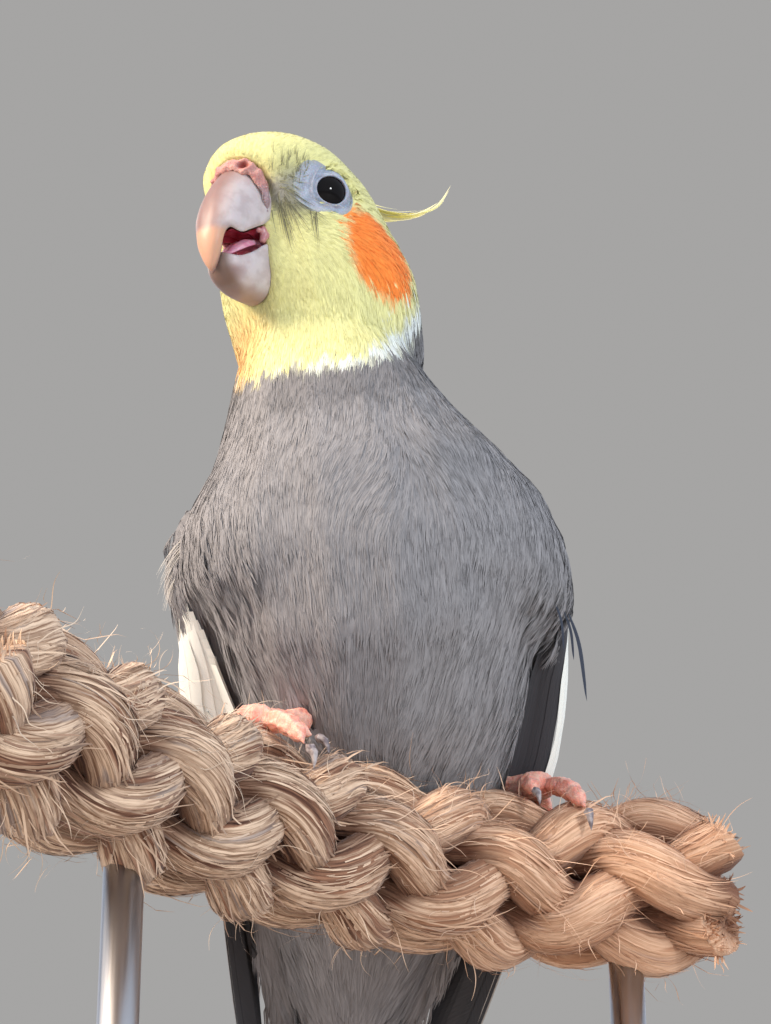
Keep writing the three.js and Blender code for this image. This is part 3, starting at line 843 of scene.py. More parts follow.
def vanePiece(name, shafts, ups, halves, marks, profile, lift=None, places=None):
    # shafts and ups are rows of points and of the ways that the vanes face, one row for each feather;
    # with a lift, the vanes follow the skin at that height over it
    count, rows = shafts.shape[:2]
    u = np.linspace(-1, 1, vanes["columns"])
    s = np.linspace(0, 1, rows)
    onward = unit(np.gradient(shafts, axis=1))
    side = unit(np.cross(ups, onward))
    half = np.asarray(halves)[:, None] * steps(s, profile)
    ragged = np.ones((count, rows, len(u)))
    torn = draws.random((count, rows, 2)) < vanes["notches"]
    ragged[:, :, [0, -1]] -= torn * draws.uniform(0.03, 0.22, torn.shape)
    across = half[..., None] * u * ragged
    arch = half[..., None] * vanes["camber"] * u ** 2
    grid = shafts[:, :, None] + side[:, :, None] * across[..., None] - ups[:, :, None] * arch[..., None]
    if lift is not None:
        spots, normals = onSkin(grid.reshape(-1, 3))
        spots, normals = spots.reshape(grid.shape), normals.reshape(grid.shape)
        near = ease(2.6, 1.2, np.linalg.norm(spots - grid, axis=-1))[..., None]
        grid = between(grid, spots + normals * 0.1, near)
        grid = grid + between(ups[:, :, None], normals, near) * (lift[:, :, None] - arch * 0.5)[..., None]
    piece = meshObject(name, grid.reshape(-1, 3), manyGrids(count, rows, len(u))[:, ::-1])
    own = np.broadcast_to(draws.random((count, 1, 1)), ragged.shape)
    along = np.broadcast_to(s[None, :, None], ragged.shape)
    wide = np.broadcast_to(u, ragged.shape)
    paint(piece, "vane", np.stack([wide, along, own], -1).reshape(-1, 3))
    paint(piece, "marks", np.repeat(marks, rows * len(u), 0))
    if places is None:
        cells = math.ceil(math.sqrt(count))
        number = np.arange(count)[:, None, None]
        column, row = number % cells, number // cells
        place = np.stack([column + 0.5 + 0.46 * wide, row + 0.04 + 0.92 * along], -1) / cells
    else:
        place = places[:, None, None] + np.stack([wide * 0.5, along - 0.5], -1) * coat["patch"]
    placeOnMap(piece, place.reshape(-1, 2))
    return piece


def walkOnSkin(roots, ways, lengths, rows):
    shafts, ups = np.zeros((len(roots), rows, 3)), np.zeros((len(roots), rows, 3))
    spot, normal = onSkin(roots)
    for i in range(rows):
        shafts[:, i], ups[:, i] = spot, normal
        way = unit(ways - normal * dot(ways, normal) * 0.9)
        ahead = spot + way * (np.asarray(lengths)[:, None] / (rows - 1))
        next_, facing = onSkin(ahead)
        near = ease(1.6, 0.6, np.linalg.norm(next_ - ahead, axis=1))[:, None]
        spot, normal = between(ahead, next_, near), unit(between(normal, facing, near))
    return shafts, ups


# Wings: rows of coverts over the folded wing, and the long flight feathers from under them

wings = {
    "middle": 1.5,  # the x of the plane between them
    "shoulder": wingsAt,
    "down": wingsDown,
    "over": (0.845, 0.54),  # from its front edge to its back edge
    "rows": [
        # kind, how far along, from which edge to which, how many, length, half width, height
        ("lesser", 5, 8, 12, 4, 9.5, 3.1, 0.8), ("lesser", 9, 6, 12, 5, 10, 3.2, 0.85),
        ("lesser", 13.5, 2.5, 12, 6, 11, 3.3, 0.95), ("lesser", 18, 0.5, 12, 7, 13, 3.5, 0.95),
        ("lesser", 24, 0, 12, 7, 15, 3.7, 0.95), ("lesser", 31, 2, 12, 6, 24, 3.9, 0.9),
        ("white", 22, -9.5, -1, 6, 18, 3.2, 1.0), ("white", 30, -9, 1, 7, 21, 3.4, 0.95),
        ("white", 38, -8, 2, 7, 25, 3.5, 0.9), ("tertial", 42, 3, 11, 5, 37, 4.4, 0.85),
        ("inner", 46, -8, 5, 8, 32, 4.2, 0.6),
    ],
    "whiteFrom": {"left": -2.2, "right": -12},  # how far over from the front edge the white begins
    "dark": {"inner": 0.8, "tertial": 0.3, "white": 0.92},
    # the long feathers down the front edge: the height where they end, how many, how far out and how close to
    # its solid the wing is looked for; and for each side the height where they begin, their half width, the
    # inner share that is black, how far the inner ones are raised and cut short, and how far the edge swells
    "front": {
        "to": 7, "across": 9, "search": (14, 46, 0.4), "near": 1.7,
        "left": {"from": 51, "half": 1.3, "dark": 0.91, "lean": 0, "trim": 0, "bulge": 1.3},
        "right": {"from": 45, "half": 2.5, "dark": -0.2, "lean": 1.8, "trim": 0.26, "bulge": 2.2},
    },
    "frontSwell": [(0, -1.2), (0.2, -0.15), (0.45, 1.45), (0.6, 1.9), (1, 1.4)],
    "covertShape": [(0, 0.5), (0.3, 0.9), (0.65, 1), (0.85, 0.85), (0.95, 0.5), (1, 0.08)],
    "flightShape": [(0, 0.35), (0.2, 0.85), (0.6, 1), (0.85, 0.75), (0.95, 0.42), (1, 0.04)],
}


def onWing(side, along, over):
    # the outer face of the folded wing, looked for from well outside it
    y, z = (wings["shoulder"][i] + along * wings["down"][i] + over * wings["over"][i] for i in (0, 1))
    starts = fromBody(np.stack([side * 70.0 + wings["middle"] + 0 * y, y, z], -1))
    way = bodyTurn @ np.array([-side, 0, 0])
    spots = []
    for start in starts:
        hit, _ = hitSkin(start, way)
        spots.append(onSkin((start + way * 42)[None])[0][0] if hit is None else hit)
    return np.array(spots)


def makeWings():
    look = vaneMaterial("wingFeathers", length=70)
    down, back = np.array([0, *wings["down"]]), np.array([0, *wings["over"]])
    s = np.linspace(0, 1, vanes["rows"])
    for side, name in sides:
        shafts, ups, halves, marks, lifts = [], [], [], [], []
        whiteFrom = wings["whiteFrom"][name]
        for kind, along, low, high, count, length, half, height in wings["rows"]:
            over = np.linspace(low, high, count) + draws.normal(size=count) * 0.25
            starts = onWing(side, along + draws.normal(size=count) * 0.5 + 0 * over, over)
            ways = (down + back * (-over / 90)[:, None]) @ bodyTurn.T
            shaft, up = walkOnSkin(starts, ways, length * draws.uniform(0.92, 1.08, count), vanes["rows"])
            white = ease(whiteFrom - 0.8, whiteFrom + 0.8, over) * (kind == "white")
            dark = wings["dark"].get(kind, 0.0)
            marks.append(np.stack([white * 0.2, 0 * over, white, 1 - dark * (1 - white) - 0.1 * white], 1))
            shafts.append(shaft)
            ups.append(up)
            halves.append(half * draws.uniform(0.92, 1.08, count))
            # the lesser coverts lie lower at the wing's front edge
            raised = between(0.45, 1.0, ease(-1, 3, over)) if kind == "lesser" else 1.0 + 0 * over
            lifts.append(height * raised[:, None] + 0.35 * s + draws.normal(size=(count, 1)) * 0.06)
        piece = vanePiece("wing_coverts_" + name, np.concatenate(shafts), np.concatenate(ups),
                          np.concatenate(halves), np.concatenate(marks), wings["covertShape"],
                          np.concatenate(lifts))
        settle(piece, "wing_feathers", look)
        wingEdge(side, name)
    print("coverts laid")
    makeFlight()
    makePlumes()


# single loose feathers that hang from the left flank over the wing: three points of each, and its half width
plumes = [((31.6, 9, 208), (33.2, 8.6, 202), (34.2, 9.5, 192.5), 0.42),
          ((30.6, 7.5, 208), (31.6, 6.4, 204), (32, 7, 199), 0.3),
          ((28.9, 5.5, 209), (29.9, 4.3, 205), (30.2, 5, 200), 0.28)]

# a fan of fine hairs from the right flank, whose roots and tips run from the first place to the second
wisps = {
    "count": 34,
    "roots": [(-37.4, 1, 49), (-36.8, 1, 55)],
    "tips": [(-40.2, 2.5, 40.5), (-41.6, 2.5, 48.5)],
    "strewn": 0.5,
    "bow": (-0.45, 0, 0.5),
    "half": (0.05, 0.08),
}
hairShape = [(0, 1), (0.5, 0.8), (1, 0.1)]


def makePlumes():
    shafts = np.array([curveThrough(plume[:3], 14) for plume in plumes])
    ups = np.broadcast_to(unit(np.array([0.6, -1.0, 0.1])), shafts.shape)
    piece = vanePiece("flank_plumes", shafts, ups, [plume[3] for plume in plumes],
                      np.tile([0, 0, 0, 0.05], (len(plumes), 1)), wings["flightShape"])
    look = vaneMaterial("plumes", length=14, shaft=0.1, tone=0.1, Dark=rgb(0.022, 0.03, 0.05))
    settle(piece, "body_feathers", look)

    count = wisps["count"]
    share = draws.random(count)[:, None]
    root, tip = (between(*np.array(wisps[end], float), share) for end in ("roots", "tips"))
    tip = tip + draws.normal(size=(count, 3)) * wisps["strewn"]
    t = np.linspace(0, 1, 10)[None, :, None]
    bow = 4 * t * (1 - t) * np.array(wisps["bow"])
    shafts = fromBody(between(root[:, None], tip[:, None], t) + bow)
    ups = np.broadcast_to(unit(np.array([-0.4, -1.0, 0.2])), shafts.shape)
    places = np.array([skinPlaces[skinTree.find_nearest(Vector(spot))[2]] for spot in shafts[:, 0]])
    piece = vanePiece("flank_wisps", shafts, ups, draws.uniform(*wisps["half"], count),
                      np.tile([0.1, 0.05, 0.35, 1.0], (count, 1)), hairShape, places=places)
    settle(piece, "body_feathers", coatFinish)


def seenOfWing(side, name, heights, share):
    # what shows of the wing from in front, as points across it at each height, and its normals
    front = wings["front"]
    wing = solidsTree(["wing_" + name])
    way = bodyTurn @ np.array([0, 1.0, 0])
    rows = {}
    for k, height in enumerate(heights):
        seen = []
        for out in np.arange(*front["search"]):
            start = fromBody([side * out + wings["middle"], -80, height])
            hit, _ = hitSkin(start, way)
            if hit is not None and wing.find_nearest(hit * mm)[3] < front["near"] * mm:
                seen.append(hit)
        if len(seen) > 6:
            rows[k] = np.array([seen[round(f * (len(seen) - 1))] for f in share])
    print("wing edge", name, "seen at heights", [round(heights[k]) for k in rows])
    known = np.array(sorted(rows))
    paths = []
    for k, height in enumerate(heights):
        near = known[np.abs(known - k).argmin()]
        paths.append(rows[near] + bodyTurn @ np.array([0, *wings["down"]]) * (heights[near] - height))
    paths = np.array(paths)
    return paths, onSkin(paths.reshape(-1, 3))[1].reshape(paths.shape)


def wingEdge(side, name):
    front = wings["front"]
    own = front[name]
    share = np.linspace(0.02, 0.98, front["across"])
    heights = np.linspace(own["from"], front["to"], vanes["rows"])
    paths, ups = seenOfWing(side, name, heights, share)
    for _ in range(4):
        paths, ups = smoothed(paths), smoothed(ups)
    ups = unit(smoothed(ups.swapaxes(0, 1)).swapaxes(0, 1))
    s = np.linspace(0, 1, vanes["rows"])
    swell = steps(s, wings["frontSwell"])[:, None] * share ** 2
    outward = bodyTurn @ np.array([side, 0, 0])
    paths = paths + outward * (swell * own["bulge"])[..., None]
    # the inner side is raised, so that the patch looks outwards
    paths = paths + ups * (1.0 + 0.12 * np.arange(front["across"]) + own["lean"] * (1 - share))[None, :, None]
    ups = unit(ups + outward * own["lean"] * 0.2)
    for j, start in enumerate(own["trim"] * (1 - share)):
        kept = np.linspace(start, 1, len(s))
        for line in (paths, ups):
            line[:, j] = alongLine(kept, s, line[:, j])
    dark = ease(own["dark"] + 0.05, own["dark"] - 0.05, share)
    marks = np.stack([0.2 * (1 - dark), 0 * dark, 1.0 * (1 - dark), 1 - 0.93 * dark], 1)
    piece = vanePiece("wing_edge_" + name, paths.transpose(1, 0, 2), ups.transpose(1, 0, 2),
                      np.full(len(share), own["half"]), marks, wings["covertShape"])
    look = vaneMaterial("edgeFeathers", length=70, shaft=0.03, tone=0.05, White=rgb(0.95, 0.96, 0.88))
    settle(piece, "wing_feathers", look)


flight = {
    "course": [(27.5, 18, 30), (27, 25, 18), (26.5, 29, 12), (24, 38, 1), (20.2, 48, -13), (15.7, 59, -29),
               (12, 71, -47), (9, 82.5, -64), (8, 88, -72)],
    "tips": [1.0, 0.96, 0.91, 0.855, 0.8, 0.745, 0.69, 0.635],
    "half": 4.2,
    "lean": 0.55,  # how far the back edge leans in over the back
    "over": (-4.6, 1.5),  # where the first lies across the wing, and how much further over each next one
    "layers": (-1.0, 0.34),  # the same for how far out they lie
}


def makeFlight():
    course = curveThrough(flight["course"], 60)
    t = np.linspace(0, 1, 60)
    for side, name in sides:
        line = course * np.array([side, 1, 1]) + np.array([wings["middle"], 0, 0])
        shafts, ups, marks = [], [], []
        over = np.array([0, *wings["over"]])
        for k, tip in enumerate(flight["tips"]):
            s = np.linspace(0.1, tip, 26)
            shaft = alongLine(s, t, line)
            shift = flight["over"][0] + k * flight["over"][1]
            shift = shift * steps(s, [(0, 1), (0.5, 0.9), (tip - 0.1, 0.45), (tip, 0.3)])
            layer = side * (flight["layers"][0] + k * flight["layers"][1])
            shaft = shaft + (over - np.array([side * flight["lean"], 0, 0])) * shift[:, None]
            shaft = shaft + np.array([1, 0, 0]) * layer
            twist = math.atan(flight["lean"])
            face = np.array([side * math.cos(twist), 0, 0]) + over * math.sin(twist)
            shafts.append(shaft)
            ups.append(np.broadcast_to(face, shaft.shape))
            marks.append([0, 0, 0.06, 0.12])
        shafts, ups = fromBody(np.array(shafts)), np.array(ups) @ bodyTurn.T
        piece = vanePiece("flight_feathers_" + name, shafts, unit(ups), np.full(len(shafts), flight["half"]),
                          np.array(marks), wings["flightShape"])
        look = vaneMaterial("flightFeathers_" + name, length=110, roughness=0.5, Edge=-0.97 * side)
        settle(piece, "flight_feathers", look, "primaries_" + name)


# Tail: twelve long feathers, stepped, the middle pair longest and lying on top

tail = {
    "start": (0.5, 49, -17),
    "slope": 58,
    "length": 144,
    "tips": [1.0, 0.93, 0.84, 0.75, 0.67, 0.6],
    "out": [1.6, 3.6, 5.2, 6.6, 7.6, 8.3],
    "half": [4.4, 4.6, 4.8, 4.9, 4.8, 4.5],
    "shape": [(0, 0.5), (0.15, 0.9), (0.5, 1), (0.75, 0.8), (0.9, 0.5), (1, 0.05)],
    "top": 0.9,  # how high the middle pair lies, and how much lower each next pair
    "step": 0.36,
    "sag": 2.2,
}


def makeTail():
    slope = math.radians(tail["slope"])
    onward = np.array([0, math.cos(slope), -math.sin(slope)])
    top = np.array([0, math.sin(slope), math.cos(slope)])
    shafts, ups, halves, marks = [], [], [], []
    for side in (1, -1):
        for k, tip in enumerate(tail["tips"]):
            t = np.linspace(-0.06, tip, 30)[:, None]
            out = side * tail["out"][k] * steps(t[:, 0], [(-0.06, 0.4), (0.2, 0.85), (0.6, 1), (1, 0.75)])
            shaft = np.array(tail["start"]) + onward * t * tail["length"]
            height = tail["top"] - tail["step"] * k + (side > 0) * 0.15
            shaft = shaft + np.array([1, 0, 0]) * out[:, None] + top * height
            shaft = shaft + top * (-tail["sag"] * np.sin(t * 2.2))
            shafts.append(shaft)
            ups.append(np.broadcast_to(unit(top + np.array([side * 0.05 * k, 0, 0])), shaft.shape))
            halves.append(tail["half"][k])
            marks.append([0, 0, 0, 0.62 - 0.1 * k + 0.2 * (k == 0)])
    piece = vanePiece("tail_feathers", fromBody(np.array(shafts)), np.array(ups) @ bodyTurn.T, halves,
                      np.array(marks), tail["shape"])
    settle(piece, "tail_feathers", vaneMaterial("tailFeathers", length=140), "tail")


# Crest: long narrow feathers laid back over the crown, with their tips swept up

crest = {
    "course": [(0, -9, 11.2), (0, -3, 12.2), (0, 5, 10.7), (0.2, 14, 7.9), (0.5, 21.5, 6.7), (1, 28.8, 7.4),
               (1.5, 35, 9.2), (2, 39.5, 11.3), (2.5, 42.8, 14), (3, 45.8, 18.4)],
    # where each begins and ends along the course, how far out it lies and its half width
    "feathers": [
        (0.12, 1.0, 0, 0.9), (0.14, 0.97, 0.5, 0.8), (0.18, 0.95, -0.5, 0.75), (0.2, 0.91, 0.9, 0.7),
        (0.2, 0.86, -0.9, 0.75), (0.24, 0.83, 1.4, 0.7), (0.24, 0.79, -1.4, 0.75), (0.22, 0.74, 0.4, 0.8),
        (0.2, 0.7, -0.7, 0.8), (0.18, 0.66, 1.8, 0.8), (0.18, 0.62, -1.8, 0.8), (0.12, 0.56, 2.3, 0.8),
        (0.12, 0.52, -2.3, 0.8), (0.1, 0.46, 0.8, 0.9), (0.1, 0.44, -1.0, 0.9),
    ],
    "shape": [(0, 0.7), (0.2, 1.25), (0.5, 1.1), (0.8, 0.65), (1, 0.05)],
    "glow": (rgb(0.95, 0.9, 0.45), 0.45),  # the light that comes through them
}


def makeCrest():
    course = curveThrough(crest["course"], 80)
    t = np.linspace(0, 1, 80)
    shafts, ups, halves, marks = [], [], [], []
    for k, (begin, tip, out, half) in enumerate(crest["feathers"]):
        s = np.linspace(begin, tip, 24)
        shaft = alongLine(s, t, course)
        shaft[:, 0] += out * steps(s, [(0, 0.6), (0.3, 1.2), (0.7, 0.8), (1, 0.5)])
        shaft[:, 2] += 0.9 - 0.11 * k + 1.2 * (tip < 0.9) * ease(tip - 0.25, tip, s) * (k % 2)
        shafts.append(shaft)
        ups.append(unit(np.broadcast_to([0.18 * out, 0, 1.0], shaft.shape)))
        halves.append(half)
        marks.append([0.95, 0, 0.45, 1.0])
    piece = vanePiece("crest_feathers", fromHead(np.array(shafts)), np.array(ups) @ headTurn.T, halves,
                      np.array(marks), crest["shape"])
    look = vaneMaterial("crestFeathers", length=30, shaft=0.02, tone=0.06, Yellow=rgb(0.97, 0.93, 0.42))
    letLightThrough(look, *crest["glow"])
    settle(piece, "face_feathers", look, "crest")


# Bristles: fine dark hairs round the corner of the bill and in front of the eye

bristles = [
    # how many, the y and z that they spread from, how far those are strewn, how far out they start, which
    # ways they go, as degrees up from straight back, their length and how light they are
    (40, (-11.9, -2.6), (0.4, 0.4), (0.8, 5.5), (-86, -26), (4.5, 8), 0.2),
    (30, (-11.6, -2.8), (0.8, 0.8), (0, 2.5), (-100, -20), (1.8, 3), 0.35),
    (44, (-10.3, 0.8), (2.0, 1.3), (0, 1), (70, 105), (1.4, 2.6), 0.42),
    (26, (-11.2, -1.6), (0.9, 1.4), (0, 1), (-25, 15), (1.3, 2.2), 0.4),
]


def makeBristles():
    look = featherMaterial("bristles", streak=0.3, tipLight=0.7)
    for side, name in sides:
        roots, ways, lengths, light = [], [], [], []
        for count, at, strewn, starts, degrees, size, tone in bristles:
            angle = np.radians(np.linspace(*degrees, count) + draws.normal(size=count) * 2)
            way = np.stack([0 * angle, np.cos(angle), np.sin(angle)], 1)
            root = np.array([side * 20, *at]) + way * draws.uniform(*starts, (count, 1))
            roots.append(root + draws.normal(size=(count, 3)) * np.array([0, *strewn]))
            ways.append(way)
            lengths.append(draws.uniform(*size, count))
            light.append(np.full(count, tone))
        inward = headTurn @ np.array([-side, 0, 0])
        found, places = [], []
        for spot in fromHead(np.concatenate(roots)):
            hit, face = hitSkin(spot, inward)
            if hit is None:
                hit, _, face, _ = skinTree.find_nearest(spot)
            found.append(np.array(hit))
            places.append(skinPlaces[face])
        found, ways = np.array(found), unit(np.concatenate(ways)) @ headTurn.T
        clear = (bareShare(found) > 0.7) & (toHead(found)[:, 1] > -13)
        shafts, ups = walkOnSkin(found[clear], ways[clear], np.concatenate(lengths)[clear], 8)
        shafts = shafts + ups * (0.25 + 0.3 * np.linspace(0, 1, 8))[:, None]
        light = np.concatenate(light)[clear]
        marks = np.stack([0.8 + 0 * light, 0 * light, 0 * light, light], 1)
        piece = vanePiece("bristles_" + name, shafts, ups, draws.uniform(0.045, 0.07, clear.sum()), marks,
                          hairShape, places=np.array(places)[clear])
        settle(piece, "face_feathers", look)


# Shells and balls

def shell(name, outer, thickness):
    # a grid of points as a thin closed body, thickened inwards
    piece = meshObject(name, outer.reshape(-1, 3), gridQuads(*outer.shape[:2]))
    thicken = piece.modifiers.new("thicken", "SOLIDIFY")
    thicken.thickness = thickness * mm
    thicken.offset = -1
    keepModifiers(piece)
    return piece


def mirrored(half):
    # rows of points from the middle line to one side, with their mirror images
    other = half[:, :0:-1] * np.array([-1, 1, 1])
    return np.concatenate([other, half], 1)


def ball(name, at, radius, axis):
    rings, spokes = 28, 48
    up = Vector(axis).to_track_quat("Z", "Y").to_matrix()
    polar = np.linspace(0, math.pi, rings)[1:-1, None]
    around = circle(spokes)[None, :]
    spots = np.stack([np.sin(polar) * np.cos(around), np.sin(polar) * np.sin(around),
                      np.cos(polar) * np.ones_like(around)], -1).reshape(-1, 3)
    spots = np.vstack([spots, [[0, 0, 1], [0, 0, -1]]]) @ np.array(up).T * radius + np.array(at)
    quads = gridQuads(rings - 2, spokes, closed=True)[:, ::-1]
    top, low = len(spots) - 2, len(spots) - 1
    s = np.arange(spokes)
    last = (rings - 3) * spokes
    caps = np.vstack([np.stack([np.full(spokes, top), s, (s + 1) % spokes], 1),
                      np.stack([np.full(spokes, low), last + (s + 1) % spokes, last + s], 1)])
    return meshObject(name, spots, quads, caps)


# Bill, in the head's frame

bill = {
    "culmen": [(-13.5, 3.0), (-15.6, 2.3), (-17.6, 0.3), (-19.5, -2.2), (-21.1, -5), (-22.1, -8),
               (-22.6, -10.6), (-22.8, -12.9), (-22.6, -15), (-22.1, -16.8), (-21.4, -18.2), (-20.4, -19.3)],
    "upperEdge": [(5.1, -9.5, -5), (5.2, -10.8, -7), (5.0, -12.1, -8.6), (4.8, -14, -9.8),
                  (4.6, -15.9, -10.9), (4.3, -17.6, -11.8), (3.4, -19.3, -11.3), (2.8, -20.0, -11.9),
                  (2.4, -20.4, -13.6), (1.8, -20.25, -15.6), (1.1, -20.1, -17.3), (0.05, -20.1, -19.35)],
    "keel": [(-9, -21.9), (-11.3, -21.9), (-13.2, -21.8), (-15.2, -21.3), (-16.8, -20.5), (-18.2, -19.5),
             (-19.3, -18.1), (-19.85, -16.4)],
    "lowerEdge": [(4.6, -9.5, -11.2), (4.5, -12, -12.6), (4.3, -13.8, -14.0), (4.0, -15.8, -15.3),
                  (3.5, -17.5, -16.0), (2.6, -18.9, -15.9), (1.4, -19.7, -15.6), (0.05, -19.9, -15.4)],
    "thickness": 0.6,
}


def billHalf(ridge, edge, rows, columns, bulge):
    # quarter ovals from the middle line out to the cutting edge
    middle = curveThrough(ridge, rows)
    rim = curveThrough(edge, rows)
    u = np.linspace(0, 1, columns)[None, :] * math.pi / 2
    out = np.sin(u) ** 0.82 * (1 + bulge * np.sin(2 * u))
    drop = 1 - np.cos(u)
    x = rim[:, :1] * out
    y = middle[:, :1] + (rim[:, 1:2] - middle[:, :1]) * drop
    z = middle[:, 1:] + (rim[:, 2:] - middle[:, 1:]) * drop
    return np.stack([x, y, z], -1)


def makeBill():
    hornUpper = hornMaterial("hornUpper", rgb(0.58, 0.33, 0.22))
    hornLower = hornMaterial("hornLower", rgb(0.17, 0.1, 0.07))
    for name, ridge, edge, bulge, look in (("bill_top", "culmen", "upperEdge", 0.1, hornUpper),
                                           ("bill_bottom", "keel", "lowerEdge", 0.12, hornLower)):
        half = billHalf(bill[ridge], bill[edge], 44, 20, bulge)
        half = half + ripple(half, 4, 31)[..., None] * 0.05
        whole = fromHead(mirrored(half))
        if name == "bill_top":
            whole = whole[:, ::-1]
        piece = shell(name, whole, bill["thickness"])
        q = toHead(pointsOf(piece))
        if name == "bill_top":
            rosy = np.maximum(ease(4.2, 1.0, np.abs(q[:, 0])) * 0.9, ease(-12.5, -18.5, q[:, 2]) * 0.95)
            rimward = ease(-19.8, -20.9, q[:, 1] - 0.1 * (q[:, 2] + 15)) * ease(-11, -12.5, q[:, 2])
        else:
            rosy = ease(-17.2, -18.6, q[:, 2]) * ease(-15, -18, q[:, 1])
            rosy = np.maximum(rosy, ease(-19.5, -21.5, q[:, 2])) * 0.7
            rimward = ease(-13, -17.5, q[:, 1]) * ease(3.2, 1.7, np.abs(q[:, 0])) * 0.85
        paint(piece, "tint", np.stack([rosy, rimward, np.zeros(len(q))], 1))
        settle(piece, "bill", look, "bill_upper" if name == "bill_top" else "bill_lower")


def hornMaterial(name, rim):
    material, tree, shader = newMaterial(name, Roughness=0.42, Specular_IOR_Level=0.42,
                                         Subsurface_Weight=0.15, Subsurface_Scale=0.002)
    spot = placeOf(tree)
    soft = noise(tree, spot, 420.0, 3.0)
    flecks = noise(tree, spot, 1800.0, 4.0)
    rosy, rimward, _ = put(tree, "SeparateColor", {0: attribute(tree, "tint", "Color")}).outputs
    colour = mixColour(tree, ramp(tree, soft, 0.35, 0.65), rgb(0.46, 0.39, 0.39), rgb(0.55, 0.49, 0.495))
    colour = mixColour(tree, ramp(tree, flecks, 0.55, 0.7, 0, 0.25), colour, rgb(0.6, 0.5, 0.48))
    colour = mixColour(tree, rosy, colour, rgb(0.22, 0.12, 0.105))
    colour = mixColour(tree, rimward, colour, rim)
    tree.links.new(colour, shader.inputs["Base Color"])
    height = calc(tree, "ADD", calc(tree, "MULTIPLY", soft, 0.7), calc(tree, "MULTIPLY", flecks, 0.3))
    bumpFrom(tree, shader, height, 0.35, 0.12)
    return material


# Mouth: a lining that narrows back from the bill's edges, the tongue, and the soft corners

mouth = {
    "depth": (0, -6.5, -10.5),
    "inset": 0.55,
    "swell": 1.3,
    "corner": [(5.1, -11.4, -9.6), (5.0, -11.1, -10.6), (4.8, -11.5, -11.7)],
    # y, z and radius of the lumps that its soft corners are melted from
    "folds": [(-12.0, -9.7, 0.7), (-11.6, -10.6, 0.9), (-12.0, -11.5, 0.7), (-13.2, -10.1, 0.55)],
}


def makeMouth():
    upper = curveThrough(bill["upperEdge"][2:8], 26)
    lower = curveThrough(bill["lowerEdge"][1:], 26)
    half = np.vstack([upper[::-1], mouth["corner"], lower])
    start = np.array([[0, upper[-1][1] - 0.5, upper[-1][2]]])
    ring = np.vstack([start, half, half[::-1][1:] * np.array([-1, 1, 1])])
    centre = np.array(mouth["depth"], float)
    # up in its upper half, and down in its lower half
    away = np.sign(ring[:, 2:3] + 12.3) * np.array([[0, 0, 1.0]])
    inner = ease(6, 3, np.abs(ring[:, :1]))
    rows = []
    for t in np.linspace(0, 1, 16):
        row = centre + (ring - centre) * (1 - t) ** 0.8
        row = row + away * mouth["swell"] * math.sin(math.pi * min(1, t * 1.2)) * inner
        rows.append(row * np.array([1 - 0.1 * (t < 1), 1, 1]) + np.array([0, mouth["inset"], 0]))
    whole = fromHead(np.stack(rows))
    material = mouthMaterial("mouthLining", rgb(0.3, 0.008, 0.02), rgb(0.45, 0.06, 0.1))
    piece = meshObject("mouth_lining", whole.reshape(-1, 3), gridQuads(len(rows), len(ring), closed=True))
    settle(piece, "mouth", material)

    tongue = melt("tongue_soft", ["tongue"], 0.22, 6)
    points = pointsOf(tongue)
    q = toHead(points)
    q[:, 2] += 0.9 * ease(-9, -15, q[:, 1]) - 0.45 * np.exp(-(q[:, 0] / 0.7) ** 2) * (q[:, 2] > -15)
    q = q + ripple(q, 1.1, 33)[:, None] * 0.07
    movePoints(tongue, fromHead(q))
    settle(tongue, "mouth", mouthMaterial("tongueSkin", rgb(0.7, 0.27, 0.4), rgb(0.78, 0.42, 0.5)), "tongue")

    for side, name in sides:
        lumps = [ball("lump", fromHead([side * 4.3, y, z]), size, (0, 0, 1)) for y, z, size in mouth["folds"]]
        fold = melt("mouth_corner_" + name, [], 0.2, 5, lumps)
        settle(fold, "mouth", mouthMaterial("mouthCorner", rgb(0.42, 0.17, 0.19), rgb(0.52, 0.27, 0.26)))


def mouthMaterial(name, deep, pale):
    material, tree, shader = newMaterial(name, Roughness=0.28, Specular_IOR_Level=0.55,
                                         Subsurface_Weight=0.2, Subsurface_Scale=0.0015)
    soft = noise(tree, placeOf(tree), 900.0, 4.0)
    tree.links.new(mixColour(tree, ramp(tree, soft, 0.35, 0.7), deep, pale), shader.inputs["Base Color"])
    bumpFrom(tree, shader, soft, 0.5, 0.15)
    return material


# Cere, with the nostrils pressed in

cere = {
    "nostril": (3.1, -15.9, 1.5),
    "width": 1.15,
    "depth": 1.5,
    "lip": 0.35,
    "ripples": [(1.7, 41, 0.13), (0.8, 42, 0.06)],
}


def makeCere():
    piece = melt("cere_skin", ["cere"], 0.17, 4)
    points, normals = pointsOf(piece), normalsOf(piece)
    q = toHead(points)
    out = normals @ headTurn
    holes = [np.array(cere["nostril"]) * np.array([side, 1, 1]) for side in (1, -1)]
    for hole in holes:
        away = np.linalg.norm((q - hole) * np.array([1, 0.8, 1.15]), axis=1) / cere["width"]
        lip = cere["lip"] * np.exp(-((away - 1.25) / 0.35) ** 2)
        press = cere["depth"] * np.clip(1 - away ** 2, 0, 1) ** 1.5 - lip
        q = q - out * press[:, None]
    q = q - out * (0.5 * ease(0.5, -4, q[:, 2]))[:, None]
    q = q + out * ripples(q, cere["ripples"])[:, None]
    movePoints(piece, fromHead(q))
    inside = np.minimum.reduce([np.linalg.norm(q - hole, axis=1) for hole in holes])
    # the tint's red is painted shade inside the nostrils; its green turns the lower cere towards the rim's
    # colour
    paint(piece, "tint", np.stack([ease(1.5, 0.5, inside), ease(2.5, -5, q[:, 2]), np.zeros(len(q))], 1))
    settle(piece, "cere", fleshMaterial("cereSkin", rgb(0.45, 0.22, 0.2), rgb(0.58, 0.33, 0.29),
                                        rgb(0.26, 0.05, 0.04), rgb(0.36, 0.27, 0.29)), "cere")


